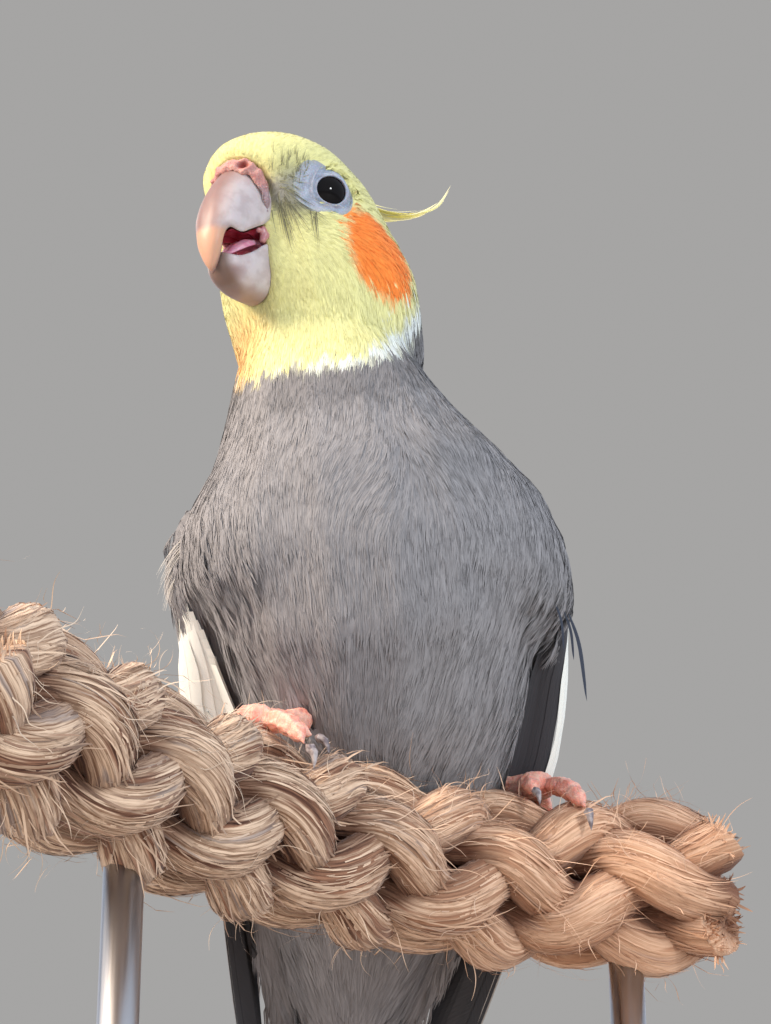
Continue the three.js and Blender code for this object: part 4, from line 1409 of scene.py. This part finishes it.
def fleshMaterial(name, low, high, deep, rim):
    # the tint's red goes to the deep colour: painted shade inside the cere's nostrils and in the creases and
    # at the lids' inner edge round the eyes, and darker in the grooves between the scales on the feet; its
    # green, near the outer edge, goes to the rim's
    material, tree, shader = newMaterial(name, Roughness=0.55, Specular_IOR_Level=0.35,
                                         Subsurface_Weight=0.25, Subsurface_Scale=0.0015)
    spot = placeOf(tree)
    dark, outward, _ = put(tree, "SeparateColor", {0: attribute(tree, "tint", "Color")}).outputs
    soft = noise(tree, spot, 700.0, 5.0)
    cells = put(tree, "TexVoronoi", {"Vector": spot, "Scale": 1900.0}, feature="DISTANCE_TO_EDGE").outputs[0]
    colour = mixColour(tree, ramp(tree, soft, 0.35, 0.65), low, high)
    colour = mixColour(tree, ramp(tree, outward, 0.55, 0.95), colour, rim)
    colour = mixColour(tree, ramp(tree, cells, 0.0, 0.12, 0.25, 0.0), colour, deep)
    colour = mixColour(tree, dark, colour, deep)
    tree.links.new(colour, shader.inputs["Base Color"])
    height = calc(tree, "ADD", soft, calc(tree, "MULTIPLY", ramp(tree, cells, 0, 0.15), 0.4))
    bumpFrom(tree, shader, height, 0.6, 0.15)
    return material


# The eyes in their lids and bare skin

def makeEyes():
    gloss, _, _ = newMaterial("eyeGloss", Base_Color=rgb(0.006, 0.005, 0.005), Roughness=0.05,
                              Specular_IOR_Level=0.14)
    bare = fleshMaterial("bareEyeSkin", rgb(0.34, 0.38, 0.46), rgb(0.44, 0.48, 0.57), rgb(0.16, 0.16, 0.21),
                         rgb(0.4, 0.42, 0.4))
    for side, name in sides:
        at, axis, fore, above = eyeWays(side)
        eye = ball("eyeball_" + name, fromHead(at), eyes["radius"], headTurn @ axis)
        settle(eye, "eye", gloss, "eye_" + name)

        # the lids and bare skin, as a height over the middle of the eye along its axis
        around = circle(96)
        spoke = fore * np.cos(around)[:, None] + above * np.sin(around)[:, None]
        s = np.linspace(0, 1, 36)[:, None]
        length, height = eyes["opening"]
        first = np.hypot(length * np.cos(around), height * np.sin(around))
        last = bareReach(around)
        out = first + (last - first) * s ** 1.1
        lid = eyes["radius"] + eyes["lidThickness"] * ease(0, 0.06, s)
        lidHeight = np.sqrt(np.maximum(lid ** 2 - out ** 2, 0.5))
        skinHeight = np.zeros(out.shape)
        toWorld = headTurn @ -axis
        for i, j in np.ndindex(*out.shape):
            start = fromHead(at + spoke[j] * out[i, j] + axis * 20)
            spot, _ = hitSkin(start, toWorld)
            skinHeight[i, j] = -20 if spot is None else 20 - np.linalg.norm(spot - start)
        sink = 0.5 * ease(0.86, 1.0, s)  # its outer edge goes down into the skin
        rise = np.maximum(lidHeight, skinHeight + 0.16 - sink)
        for _ in range(4):
            rise = smoothed(rise)
            rise = (np.roll(rise, 1, 1) + 2 * rise + np.roll(rise, -1, 1)) / 4
        rise = np.maximum(rise, skinHeight + 0.12 - sink)
        rise[0] = np.sqrt((eyes["radius"] - 0.12) ** 2 - out[0] ** 2)
        flat = at + spoke * out[..., None]
        creases = np.sin(s * 2 * math.pi * 4.6 + 1.3 * ripple(flat, 4.5, 53) + 0.8 * np.sin(around + 1))
        creases = creases * (0.6 + 0.4 * ripple(flat, 2.2, 54))
        rise = rise + creases * eyes["creases"] * ease(0.05, 0.16, s) * ease(0.9, 0.5, s)
        spots = flat + axis * rise[..., None]
        spots = spots + axis * (ripple(spots, 0.8, 52) * 0.04 * ease(0, 0.1, s))[..., None]
        piece = meshObject("eye_ring_" + name, fromHead(spots).reshape(-1, 3),
                           gridQuads(*out.shape, closed=True)[:, ::side])
        shade = ease(0.1, -0.9, creases) * ease(0.9, 0.4, s) * ease(0.02, 0.1, s) * 0.3
        shade = shade + ease(0.07, 0.0, s) * 0.6
        paint(piece, "tint", np.stack([np.clip(shade, 0, 1).ravel(), np.broadcast_to(s, out.shape).ravel(),
                                       np.zeros(out.size)], 1))
        settle(piece, "eye_ring", bare)


# Feet and claws

feet = {
    "reach": 17,  # from the rope's axis to the toes
    "scute": 1.14,
    "scuteDepth": 0.1,
}


def makeFeet():
    skinLook = fleshMaterial("footSkin", rgb(0.88, 0.33, 0.24), rgb(0.93, 0.53, 0.41), rgb(0.38, 0.2, 0.18),
                             rgb(0.5, 0.36, 0.38))
    clawLook = clawMaterial()
    for _, side in sides:
        foot = melt("foot_skin_" + side, ["foot_" + side], 0.3, 5)
        points, normals = pointsOf(foot), normalsOf(foot)
        middle, _, back = ropeAxis(nearestRun(points))
        rel = points - middle
        turn = np.arctan2(dot(rel, back)[:, 0], rel[:, 2])
        bands = np.abs(np.sin(turn * feet["reach"] / feet["scute"]))
        ridge = (bands ** 0.5 - 0.75) * feet["scuteDepth"] * ease(13, 16, np.linalg.norm(rel, axis=1))
        points = points + normals * (ridge * 1.6 + ripple(points, 1.2, 61) * 0.06)[:, None]
        movePoints(foot, points)
        paint(foot, "tint", np.stack([ease(0.35, 0.0, bands) * 0.5, np.zeros(len(points)),
                                      np.zeros(len(points))], 1))
        settle(foot, "foot_skin", skinLook, "foot_" + side)
        names = [n for n in nodes if n.startswith("claw_" + side)]
        claws = melt("claws_" + side, names, 0.14, 3)
        settle(claws, "claw", clawLook, *names)


def clawMaterial():
    material, tree, shader = newMaterial("clawHorn", Roughness=0.35, Specular_IOR_Level=0.5)
    grain = noise(tree, placeOf(tree), 900.0, 3.0)
    colour = mixColour(tree, ramp(tree, grain, 0.35, 0.65), rgb(0.16, 0.13, 0.14), rgb(0.42, 0.37, 0.36))
    tree.links.new(colour, shader.inputs["Base Color"])
    bumpFrom(tree, shader, grain, 0.3, 0.1)
    return material


# The perch: eight strands plaited round a level curve, with fibres along them and frayed out of them

rope = {
    "course": [(-60, -90), (-43, -51), (-22, -14), (2, 12), (25, 26), (56, 29)],
    "height": 165,
    "pitch": 112,
    "strand": 4.7,
    "plump": 0.09,  # how much thicker a strand is where it lies on top
    "ring": 8.5,
    "weave": 2.3,
    "plies": 3,
    "plyTurn": 75,  # mm of strand for one turn of its plies
    "plyDepth": 0.4,
    "fibreDepth": 0.24,
    "relief": [(1.3, 71, 0.7), (3.4, 72, 1)],
    "clumps": [30, 38, 47, 116, 126, 133, 143, 154, 160],  # where most of it has frayed, by length
    "endCap": [(0.93, 0.5), (0.75, 1.0), (0.4, 0.9), (0.02, 0.8)],  # how wide and how far out
    "apart": 300,  # mm along the fibres' pattern from one strand to the next
}

# the loose fibres: their number, points, lengths and half widths, how bare of colour they are, and where
# their pattern begins
fibres = {
    "lying": {"count": 3600, "rows": 9, "size": (6, 20), "half": (0.08, 0.24), "loose": 0.15, "from": 1500,
              "shape": [(0, 0.5), (0.3, 1), (0.8, 0.8), (1, 0.1)]},
    "frayed": {"count": 1500, "rows": 16, "size": (3, 10), "half": (0.05, 0.11), "loose": 0.6, "from": 2000,
               "shape": [(0, 1), (0.7, 0.8), (1, 0.2)]},
    "ends": {"count": 100, "rows": 5, "size": (0.8, 2.4), "half": (0.12, 0.3), "loose": 0.2, "from": 4000,
             "shape": [(0, 1), (0.7, 0.8), (1, 0.2)]},  # the count is for each end of a strand
}


def centripetal(points, per):
    # a centripetal Catmull-Rom curve through the points
    points = np.asarray(points, float)
    ends = np.vstack([2 * points[0] - points[1], points, 2 * points[-1] - points[-2]])
    f = np.linspace(0, 1, per, endpoint=False)[:, None]
    runs = []
    for i in range(len(points) - 1):
        a, b, c, d = ends[i:i + 4]
        before, here, after = (math.sqrt(np.linalg.norm(q - p)) for p, q in ((a, b), (b, c), (c, d)))
        leave = ((b - a) / before - (c - a) / (before + here) + (c - b) / here) * here
        arrive = ((c - b) / here - (d - b) / (here + after) + (d - c) / after) * here
        runs.append(b + leave * f + (3 * (c - b) - 2 * leave - arrive) * f ** 2
                    + (2 * (b - c) + leave + arrive) * f ** 3)
    return np.vstack(runs + [points[-1:]])


ropeLine = centripetal([(x, y, rope["height"]) for x, y in rope["course"]], 160)
ropeRun = np.append(0, np.cumsum(np.linalg.norm(np.diff(ropeLine, axis=0), axis=1)))
ropeWay = unit(np.gradient(ropeLine, ropeRun, axis=0))


def ropeAxis(length):
    middle = alongLine(length, ropeRun, ropeLine)
    along = unit(alongLine(length, ropeRun, ropeWay))
    back = np.stack([-along[..., 1], along[..., 0], np.zeros(along.shape[:-1])], -1)
    return middle, along, back


def nearestRun(points):
    flat = ropeLine[::6, :2]
    gap = np.linalg.norm(points[:, None, :2] - flat[None], axis=2)
    return ropeRun[::6][gap.argmin(1)]


def strandAt(hand, start, length):
    # the middle of a strand, with its direction and the way out from the rope's axis
    def middleOf(run):
        middle, _, back = ropeAxis(run)
        turn = run / rope["pitch"] * 2 * math.pi
        away = abs(hand) * (rope["ring"] + hand * rope["weave"] * np.cos(4 * turn))
        angle = hand * turn + start
        out = back * np.cos(angle)[..., None] + np.array([0, 0, 1.0]) * np.sin(angle)[..., None]
        return middle + out * away[..., None], out
    spot, out = middleOf(length)
    way = unit(middleOf(length + 0.2)[0] - middleOf(length - 0.2)[0])
    return spot, way, unit(out - way * dot(out, way))


def plyTurned(hand, length):
    return -hand * length / rope["plyTurn"] * 2 * math.pi


strands = [(hand, quarter * math.pi / 2) for hand in (1, -1) for quarter in range(4)] + [(0, 0.0)]


def strandSurface(hand, start, length, around, proud=0.0):
    spot, way, out = strandAt(hand, start, length)
    side = np.cross(way, out)
    seed = hand * 7 + start * 2
    turned = around - plyTurned(hand, length)
    groove = 1 - np.abs(np.cos(turned * rope["plies"] / 2 + seed)) ** 0.6
    at = np.stack([np.cos(turned) * 5, np.sin(turned) * 5, length * 0.16 + seed * 5], -1)
    relief = ripples(at, rope["relief"])
    thick = rope["strand"] * (1 + rope["plump"] * hand * np.cos(length / rope["pitch"] * 8 * math.pi))
    reach = thick - rope["plyDepth"] * groove + rope["fibreDepth"] * relief + proud
    flat = 1 - 0.08 * np.cos(around) ** 2
    return spot + (out * np.cos(around)[..., None] * flat[..., None]
                   + side * np.sin(around)[..., None]) * reach[..., None]


def makeRope():
    look = ropeMaterial()
    total = ropeRun[-1]
    around = circle(40)
    length = np.linspace(0, total, 300)
    for i, (hand, start) in enumerate(strands):
        run = np.repeat(length[:, None], len(around), 1)
        turn = np.repeat(around[None], len(length), 0)
        grid = strandSurface(hand, start, run, turn)
        ends = []
        for end, way in ((0, -1), (-1, 1)):
            ring = grid[end]
            middle = ring.mean(0)
            onward = ropeAxis(length[end])[1] * way
            ends.append(np.stack([middle + (ring - middle) * wide + onward * out
                                  for wide, out in rope["endCap"]]))
        grid = np.concatenate([ends[0][::-1], grid, ends[1]])
        lengths = np.pad(length, len(rope["endCap"]), "edge")
        piece = meshObject("rope_strand_%d" % (i + 1), grid.reshape(-1, 3),
                           gridQuads(len(grid), len(around), closed=True)[:, ::-1])
        turned = around - plyTurned(hand, lengths[:, None])
        place = np.broadcast_to(lengths[:, None] + rope["apart"] * i, turned.shape)
        coords = np.stack([np.cos(turned) * rope["strand"], np.sin(turned) * rope["strand"], place], -1)
        paint(piece, "fibre", coords.reshape(-1, 3) / 1000)
        # painted shade down between the strands
        paint(piece, "deep", shadeInGrooves(grid.reshape(-1, 3)))
        paint(piece, "loose", np.zeros(len(piece.data.vertices)))
        settle(piece, "rope", look, *(["rope_perch"] if i == 0 else []))
    for name, make, kind in (("rope_fibres", lyingFibres, fibres["lying"]),
                             ("rope_frayed", frayedFibres, fibres["frayed"]),
                             ("rope_ends", endFibres, fibres["ends"])):
        piece = ribbonPiece(name, *make(total, kind))
        paint(piece, "loose", np.full(len(piece.data.vertices), kind["loose"]))
        settle(piece, "rope", look)


def shadeInGrooves(points):
    # painted shade: 1 down between the strands, 0 on top of them
    away = np.linalg.norm(points - ropeAxis(nearestRun(points))[0], axis=1)
    return ease(rope["ring"] + rope["strand"] + 0.2, rope["ring"] + 0.8, away)


def ribbonPiece(name, lines, ups, halves, coords):
    count, rows = lines.shape[:2]
    onward = unit(np.gradient(lines, axis=1))
    side = unit(np.cross(ups, onward))
    grid = np.stack([lines - side * halves[..., None], lines + side * halves[..., None]], 2)
    piece = meshObject(name, grid.reshape(-1, 3), manyGrids(count, rows, 2))
    paint(piece, "fibre", np.repeat(coords.reshape(-1, 3), 2, 0) / 1000)
    # painted shade down between the strands
    paint(piece, "deep", shadeInGrooves(grid.reshape(-1, 3)))
    return piece


def patternAt(length):
    # each fibre gets a place of its own across the fibres' pattern
    own = [np.broadcast_to(draws.uniform(-6, 6, (len(length), 1)), length.shape) for _ in range(2)]
    return np.stack(own + [length], -1)


def lyingFibres(total, kind):
    # fibres that lie along the strands and stand up at their far ends
    count, rows = kind["count"], kind["rows"]
    which = draws.integers(0, len(strands), count)
    hand = np.array([s[0] for s in strands])[which]
    t = np.linspace(0, 1, rows)
    size = draws.uniform(*kind["size"], count)
    length = draws.uniform(0, total, count)[:, None] + size[:, None] * t
    length = np.clip(length, 0.5, total - 0.5)
    around = draws.normal(size=count)[:, None] * 0.8 + draws.normal(size=count)[:, None] * 0.25 * t
    around = around + plyTurned(hand[:, None], length - length.mean(1, keepdims=True))
    lift = 0.12 + draws.exponential(0.5, count)[:, None] * ease(0.55, 1.0, t) * 2
    lines = np.zeros((count, rows, 3))
    ups = np.zeros((count, rows, 3))
    for k, strand in enumerate(strands):
        mine = which == k
        lines[mine] = strandSurface(*strand, length[mine], around[mine], lift[mine])
        ups[mine] = lines[mine] - strandAt(*strand, length[mine])[0]
    halves = draws.uniform(*kind["half"], count)[:, None] * steps(t, kind["shape"])
    return lines, unit(ups), halves, patternAt(length + kind["from"])


def frayedFibres(total, kind):
    # fibres that stand out from the strands and curl, most of them in clumps
    count, rows = kind["count"], kind["rows"]
    which = draws.integers(0, len(strands) - 1, count)
    clumps = np.concatenate([draws.uniform(0, total, 26), rope["clumps"], rope["clumps"]])
    clumped = clumps[draws.integers(0, len(clumps), count)] + draws.normal(size=count) * 2.2
    length = np.where(draws.random(count) < 0.8, clumped, draws.uniform(0, total, count))
    length = np.clip(length, 1, total - 1)
    around = draws.normal(size=count) * 0.55
    root, way = np.zeros((count, 3)), np.zeros((count, 3))
    for k, strand in enumerate(strands):
        mine = which == k
        root[mine] = strandSurface(*strand, length[mine], around[mine])
        way[mine] = strandAt(*strand, length[mine])[1]
    outward = unit(root - ropeAxis(length)[0])
    kept = (outward[:, 2] > -0.1) | (draws.random(count) < 0.35)
    root, way, outward, length = root[kept], way[kept], outward[kept], length[kept]
    count = len(root)
    size = draws.uniform(*kind["size"], count)[:, None]
    t = np.linspace(0, 1, rows)[None, :]
    heading = way * np.sign(draws.normal(size=count))[:, None]
    wild = draws.normal(size=(count, 3))
    lines = (root[:, None] + heading[:, None] * (size * t * 0.6)[..., None]
             + outward[:, None] * (size * 0.5 * t ** 1.3)[..., None]
             + wild[:, None] * (size * 0.25 * t ** 2)[..., None])
    curl = draws.uniform(3.0, 9.0, (count, 1)) * t + draws.uniform(0, 6, (count, 1))
    swing = draws.uniform(0.08, 0.2, (count, 1)) * size * t
    lines = lines + (np.cross(heading, outward)[:, None] * (np.sin(curl) * swing)[..., None]
                     + outward[:, None] * (np.cos(curl) * swing * 0.8)[..., None])
    halves = draws.uniform(*kind["half"], (count, 1)) * steps(t[0], kind["shape"])[None]
    coords = patternAt(np.broadcast_to(length[:, None] + kind["from"], (count, rows)))
    return lines, np.broadcast_to(outward[:, None], lines.shape), halves, coords


def endFibres(total, kind):
    # the strands' cut ends, as brushes of fibres
    rows = kind["rows"]
    lines, ups, coords = [], [], []
    t = np.linspace(0, 1, rows)[:, None]
    for strand in strands:
        for length, way in ((0.0, -1), (total, 1)):
            spot, onward, out = strandAt(*strand, np.array(length))
            side = np.cross(onward, out)
            for _ in range(kind["count"]):
                angle, away = draws.uniform(0, 6.3), rope["strand"] * math.sqrt(draws.random()) * 0.93
                aside = out * math.cos(angle) + side * math.sin(angle)
                size = draws.uniform(*kind["size"])
                bend = aside * 0.35 + draws.normal(size=3) * 0.15
                lines.append(spot + aside * away + onward * way * (t * size) + bend * t ** 2 * size)
                ups.append(np.broadcast_to(aside, (rows, 3)))
                place = length + kind["from"] + t * size
                coords.append(np.hstack([np.full((rows, 2), draws.uniform(-6, 6)), place]))
    halves = draws.uniform(*kind["half"], (len(lines), 1)) * steps(t[:, 0], kind["shape"])[None]
    return np.array(lines), np.array(ups), halves, np.array(coords)


def ropeMaterial():
    material, tree, shader = newMaterial("sisal", Roughness=0.7, Specular_IOR_Level=0.3, Sheen_Weight=0.1)
    at = attribute(tree, "fibre", "Vector")
    fine = stretched(tree, at, 2600.0, 2600.0, 110.0)
    broad = stretched(tree, at, 420.0, 420.0, 55.0)
    hair = noise(tree, fine, 1.0, 4.0, roughness=0.6)
    patch = noise(tree, broad, 1.0, 3.0)
    tan = mixColour(tree, ramp(tree, hair, 0.34, 0.64), rgb(0.25, 0.13, 0.07), rgb(0.84, 0.62, 0.44))
    brown = mixColour(tree, ramp(tree, hair, 0.3, 0.7), rgb(0.06, 0.018, 0.01), rgb(0.38, 0.19, 0.11))
    grey = mixColour(tree, ramp(tree, hair, 0.3, 0.7), rgb(0.17, 0.12, 0.1), rgb(0.55, 0.43, 0.36))
    colour = mixColour(tree, ramp(tree, patch, 0.53, 0.61), tan, brown)
    colour = mixColour(tree, ramp(tree, patch, 0.4, 0.32), colour, grey)
    loose = attribute(tree, "loose", "Fac")
    colour = mixColour(tree, loose, colour, rgb(0.82, 0.66, 0.5))
    # lighter and more orange towards the right end: partly the sisal's own colour and partly painted light
    spot = put(tree, "SeparateXYZ", {0: placeOf(tree)}).outputs[0]
    colour = mixColour(tree, ramp(tree, spot, -0.02, 0.045, 0.0, 0.5), colour, rgb(0.9, 0.5, 0.29))
    # painted shade: the colour darkened down between the strands
    deep = attribute(tree, "deep", "Fac")
    colour = mixColour(tree, deep, colour, rgb(0.34, 0.25, 0.22), "MULTIPLY")
    tree.links.new(colour, shader.inputs["Base Color"])
    bumpFrom(tree, shader, hair, 0.8, 0.35)
    return material


# Stand: a turned wooden base with two steel rods in their ferrules

stand = {"radius": 84, "thickness": 14, "rods": (54, 164), "rod": 3, "rodTop": 159.5, "ferrule": (6.5, 7)}


def lathe(name, profile, at, count):
    # a profile of (radius, height), turned about the upright line through the place
    profile = np.asarray(profile, float)
    around = circle(count)
    grid = np.stack([profile[:, :1] * np.cos(around), profile[:, :1] * np.sin(around),
                     np.broadcast_to(profile[:, 1:], (len(profile), count))], -1) + np.array(at)
    ends = np.array([[0, 0, profile[0, 1]], [0, 0, profile[-1, 1]]]) + np.array(at)
    first = len(profile) * count
    last = first - count
    s = np.arange(count)
    fans = np.vstack([np.stack([np.full(count, first), (s + 1) % count, s], 1),
                      np.stack([np.full(count, first + 1), last + s, last + (s + 1) % count], 1)])
    return meshObject(name, np.vstack([grid.reshape(-1, 3), ends]),
                      gridQuads(len(profile), count, closed=True), fans)


def rounded(corners, size):
    # an outline of (radius, height) corners, each one rounded off
    made = []
    corners = [np.array(c, float) for c in corners]
    for before, corner, after in zip(corners, corners[1:], corners[2:]):
        a, b = corner + unit(before - corner) * size, corner + unit(after - corner) * size
        t = np.linspace(0, 1, 6)[:, None]
        made.append(a * (1 - t) ** 2 + 2 * corner * t * (1 - t) + b * t ** 2)
    return np.vstack([corners[0][None]] + made + [corners[-1][None]])


def makeStand():
    r, h = stand["radius"], stand["thickness"]
    wood, steel = woodMaterial(), steelMaterial()
    profile = rounded([(0.5, 0), (r, 0), (r, h), (0.5, h)], 1.6)
    base = lathe("stand_base_turned", profile, (0, 0, 0), 128)
    settle(base, "stand_wood", wood, "stand_base")
    rodLine = [(stand["rod"], h + 0.2), (stand["rod"], stand["rodTop"])]
    wide, tall = stand["ferrule"]
    ringLine = rounded([(3.2, h), (wide, h), (wide, h + tall - 2.5), (wide - 2.2, h + tall), (3.1, h + tall)],
                       0.5)
    for side, run in zip(("left", "right"), stand["rods"]):
        x, y, _ = ropeAxis(np.array(run))[0]
        rod = lathe("stand_rod_turned_" + side, rodLine, (x, y, 0), 48)
        settle(rod, "stand_steel", steel, "stand_rod_" + side)
        ring = lathe("stand_ferrule_turned_" + side, ringLine, (x, y, 0), 64)
        settle(ring, "stand_steel", steel, "stand_ferrule_" + side)


def woodMaterial():
    material, tree, shader = newMaterial("oiledWood", Roughness=0.42, Specular_IOR_Level=0.4)
    spot = placeOf(tree)
    long = stretched(tree, spot, 14.0, 160.0, 60.0)
    warp = noise(tree, long, 0.5, 3.0)
    rings = put(tree, "TexWave", {"Vector": long, "Scale": 0.35, "Distortion": 4.0, "Detail": 2.0}).outputs[1]
    fine = stretched(tree, spot, 60.0, 2600.0, 900.0)
    pores = noise(tree, fine, 1.0, 4.0)
    colour = mixColour(tree, ramp(tree, rings, 0.2, 0.9), rgb(0.26, 0.145, 0.07), rgb(0.46, 0.29, 0.16))
    colour = mixColour(tree, ramp(tree, warp, 0.3, 0.7, 0, 0.35), colour, rgb(0.2, 0.1, 0.045))
    colour = mixColour(tree, ramp(tree, pores, 0.56, 0.7, 0, 0.5), colour, rgb(0.13, 0.065, 0.03))
    tree.links.new(colour, shader.inputs["Base Color"])
    tree.links.new(ramp(tree, pores, 0.3, 0.7, 0.36, 0.55), shader.inputs["Roughness"])
    bumpFrom(tree, shader, pores, 0.25, 0.15)
    return material


def steelMaterial():
    material, tree, shader = newMaterial("satinSteel", Base_Color=rgb(0.62, 0.62, 0.63), Metallic=1.0)
    brushed = noise(tree, stretched(tree, placeOf(tree), 900.0, 900.0, 14.0), 1.0, 3.0)
    tree.links.new(ramp(tree, brushed, 0.3, 0.7, 0.26, 0.42), shader.inputs["Roughness"])
    bumpFrom(tree, shader, brushed, 0.15, 0.05)
    return material


for stage, make in (("wings", makeWings), ("tail", makeTail), ("crest", makeCrest),
                    ("bristles", makeBristles), ("bill", makeBill), ("mouth", makeMouth), ("cere", makeCere),
                    ("eyes", makeEyes), ("feet", makeFeet), ("rope", makeRope), ("stand", makeStand)):
    make()
    print(stage, "made")


# Stage, lights and camera

studio = {
    "camera": {"at": (0, -392.2, 64.84), "up": 22, "lens": 87.0},
    "floor": rgb(0.43, 0.43, 0.43),
    "wall": rgb(0.38, 0.375, 0.37),  # as it is seen
    "light": rgb(0.6, 0.66, 0.78),  # as it lights the model
    # place, what it points at, width, power, colour, and whether it glints on the model
    "lamps": {
        "windowLight": ((-0.76, -0.36, 0.74), (-0.005, 0.01, 0.24), 0.5, 18, (1.0, 0.82, 0.65), True),
        "fillLight": ((0.6, -0.8, 0.2), (-0.005, 0.01, 0.24), 0.8, 2.6, (0.88, 0.94, 1.0), False),
        "eyeLight": ((0.51, -0.724, 0.447), (-0.01, 0, 0.283), 0.12, 3.2, (0.94, 0.97, 1.0), True),
    },
}


def areaLight(name, at, target, size, power, colour, glints):
    data = bpy.data.lights.new(name, "AREA")
    data.shape = "DISK"
    data.size = size
    data.energy = power
    data.color = colour
    lamp = bpy.data.objects.new(name, data)
    lamp.location = at
    lamp.rotation_euler = (Vector(target) - Vector(at)).to_track_quat("-Z", "Y").to_euler()
    lamp.visible_glossy = glints
    bpy.context.scene.collection.objects.link(lamp)


def setStage():
    scene = bpy.context.scene
    floor = meshObject("floor", [(-3000, -3000, 0), (3000, -3000, 0), (3000, 3000, 0), (-3000, 3000, 0)],
                       [(0, 1, 2, 3)])
    material, _, _ = newMaterial("floorPaint", Base_Color=studio["floor"], Roughness=0.8)
    floor.data.materials.append(material)
    world = bpy.data.worlds.new("room")
    world.use_nodes = True
    tree = world.node_tree
    seen = put(tree, "LightPath").outputs["Is Camera Ray"]
    tree.links.new(mixColour(tree, seen, studio["light"], studio["wall"]), tree.nodes["Background"].inputs[0])
    scene.world = world
    for name, settings in studio["lamps"].items():
        areaLight(name, *settings)
    data = bpy.data.cameras.new("camera")
    data.lens = studio["camera"]["lens"]
    data.sensor_width = 36
    data.clip_start = 0.01
    camera = bpy.data.objects.new("camera", data)
    camera.location = Vector(studio["camera"]["at"]) * mm
    camera.rotation_euler = (math.radians(90 + studio["camera"]["up"]), 0, 0)
    scene.collection.objects.link(camera)
    scene.camera = camera
    scene.view_settings.view_transform = "Standard"


setStage()
print("stage set")
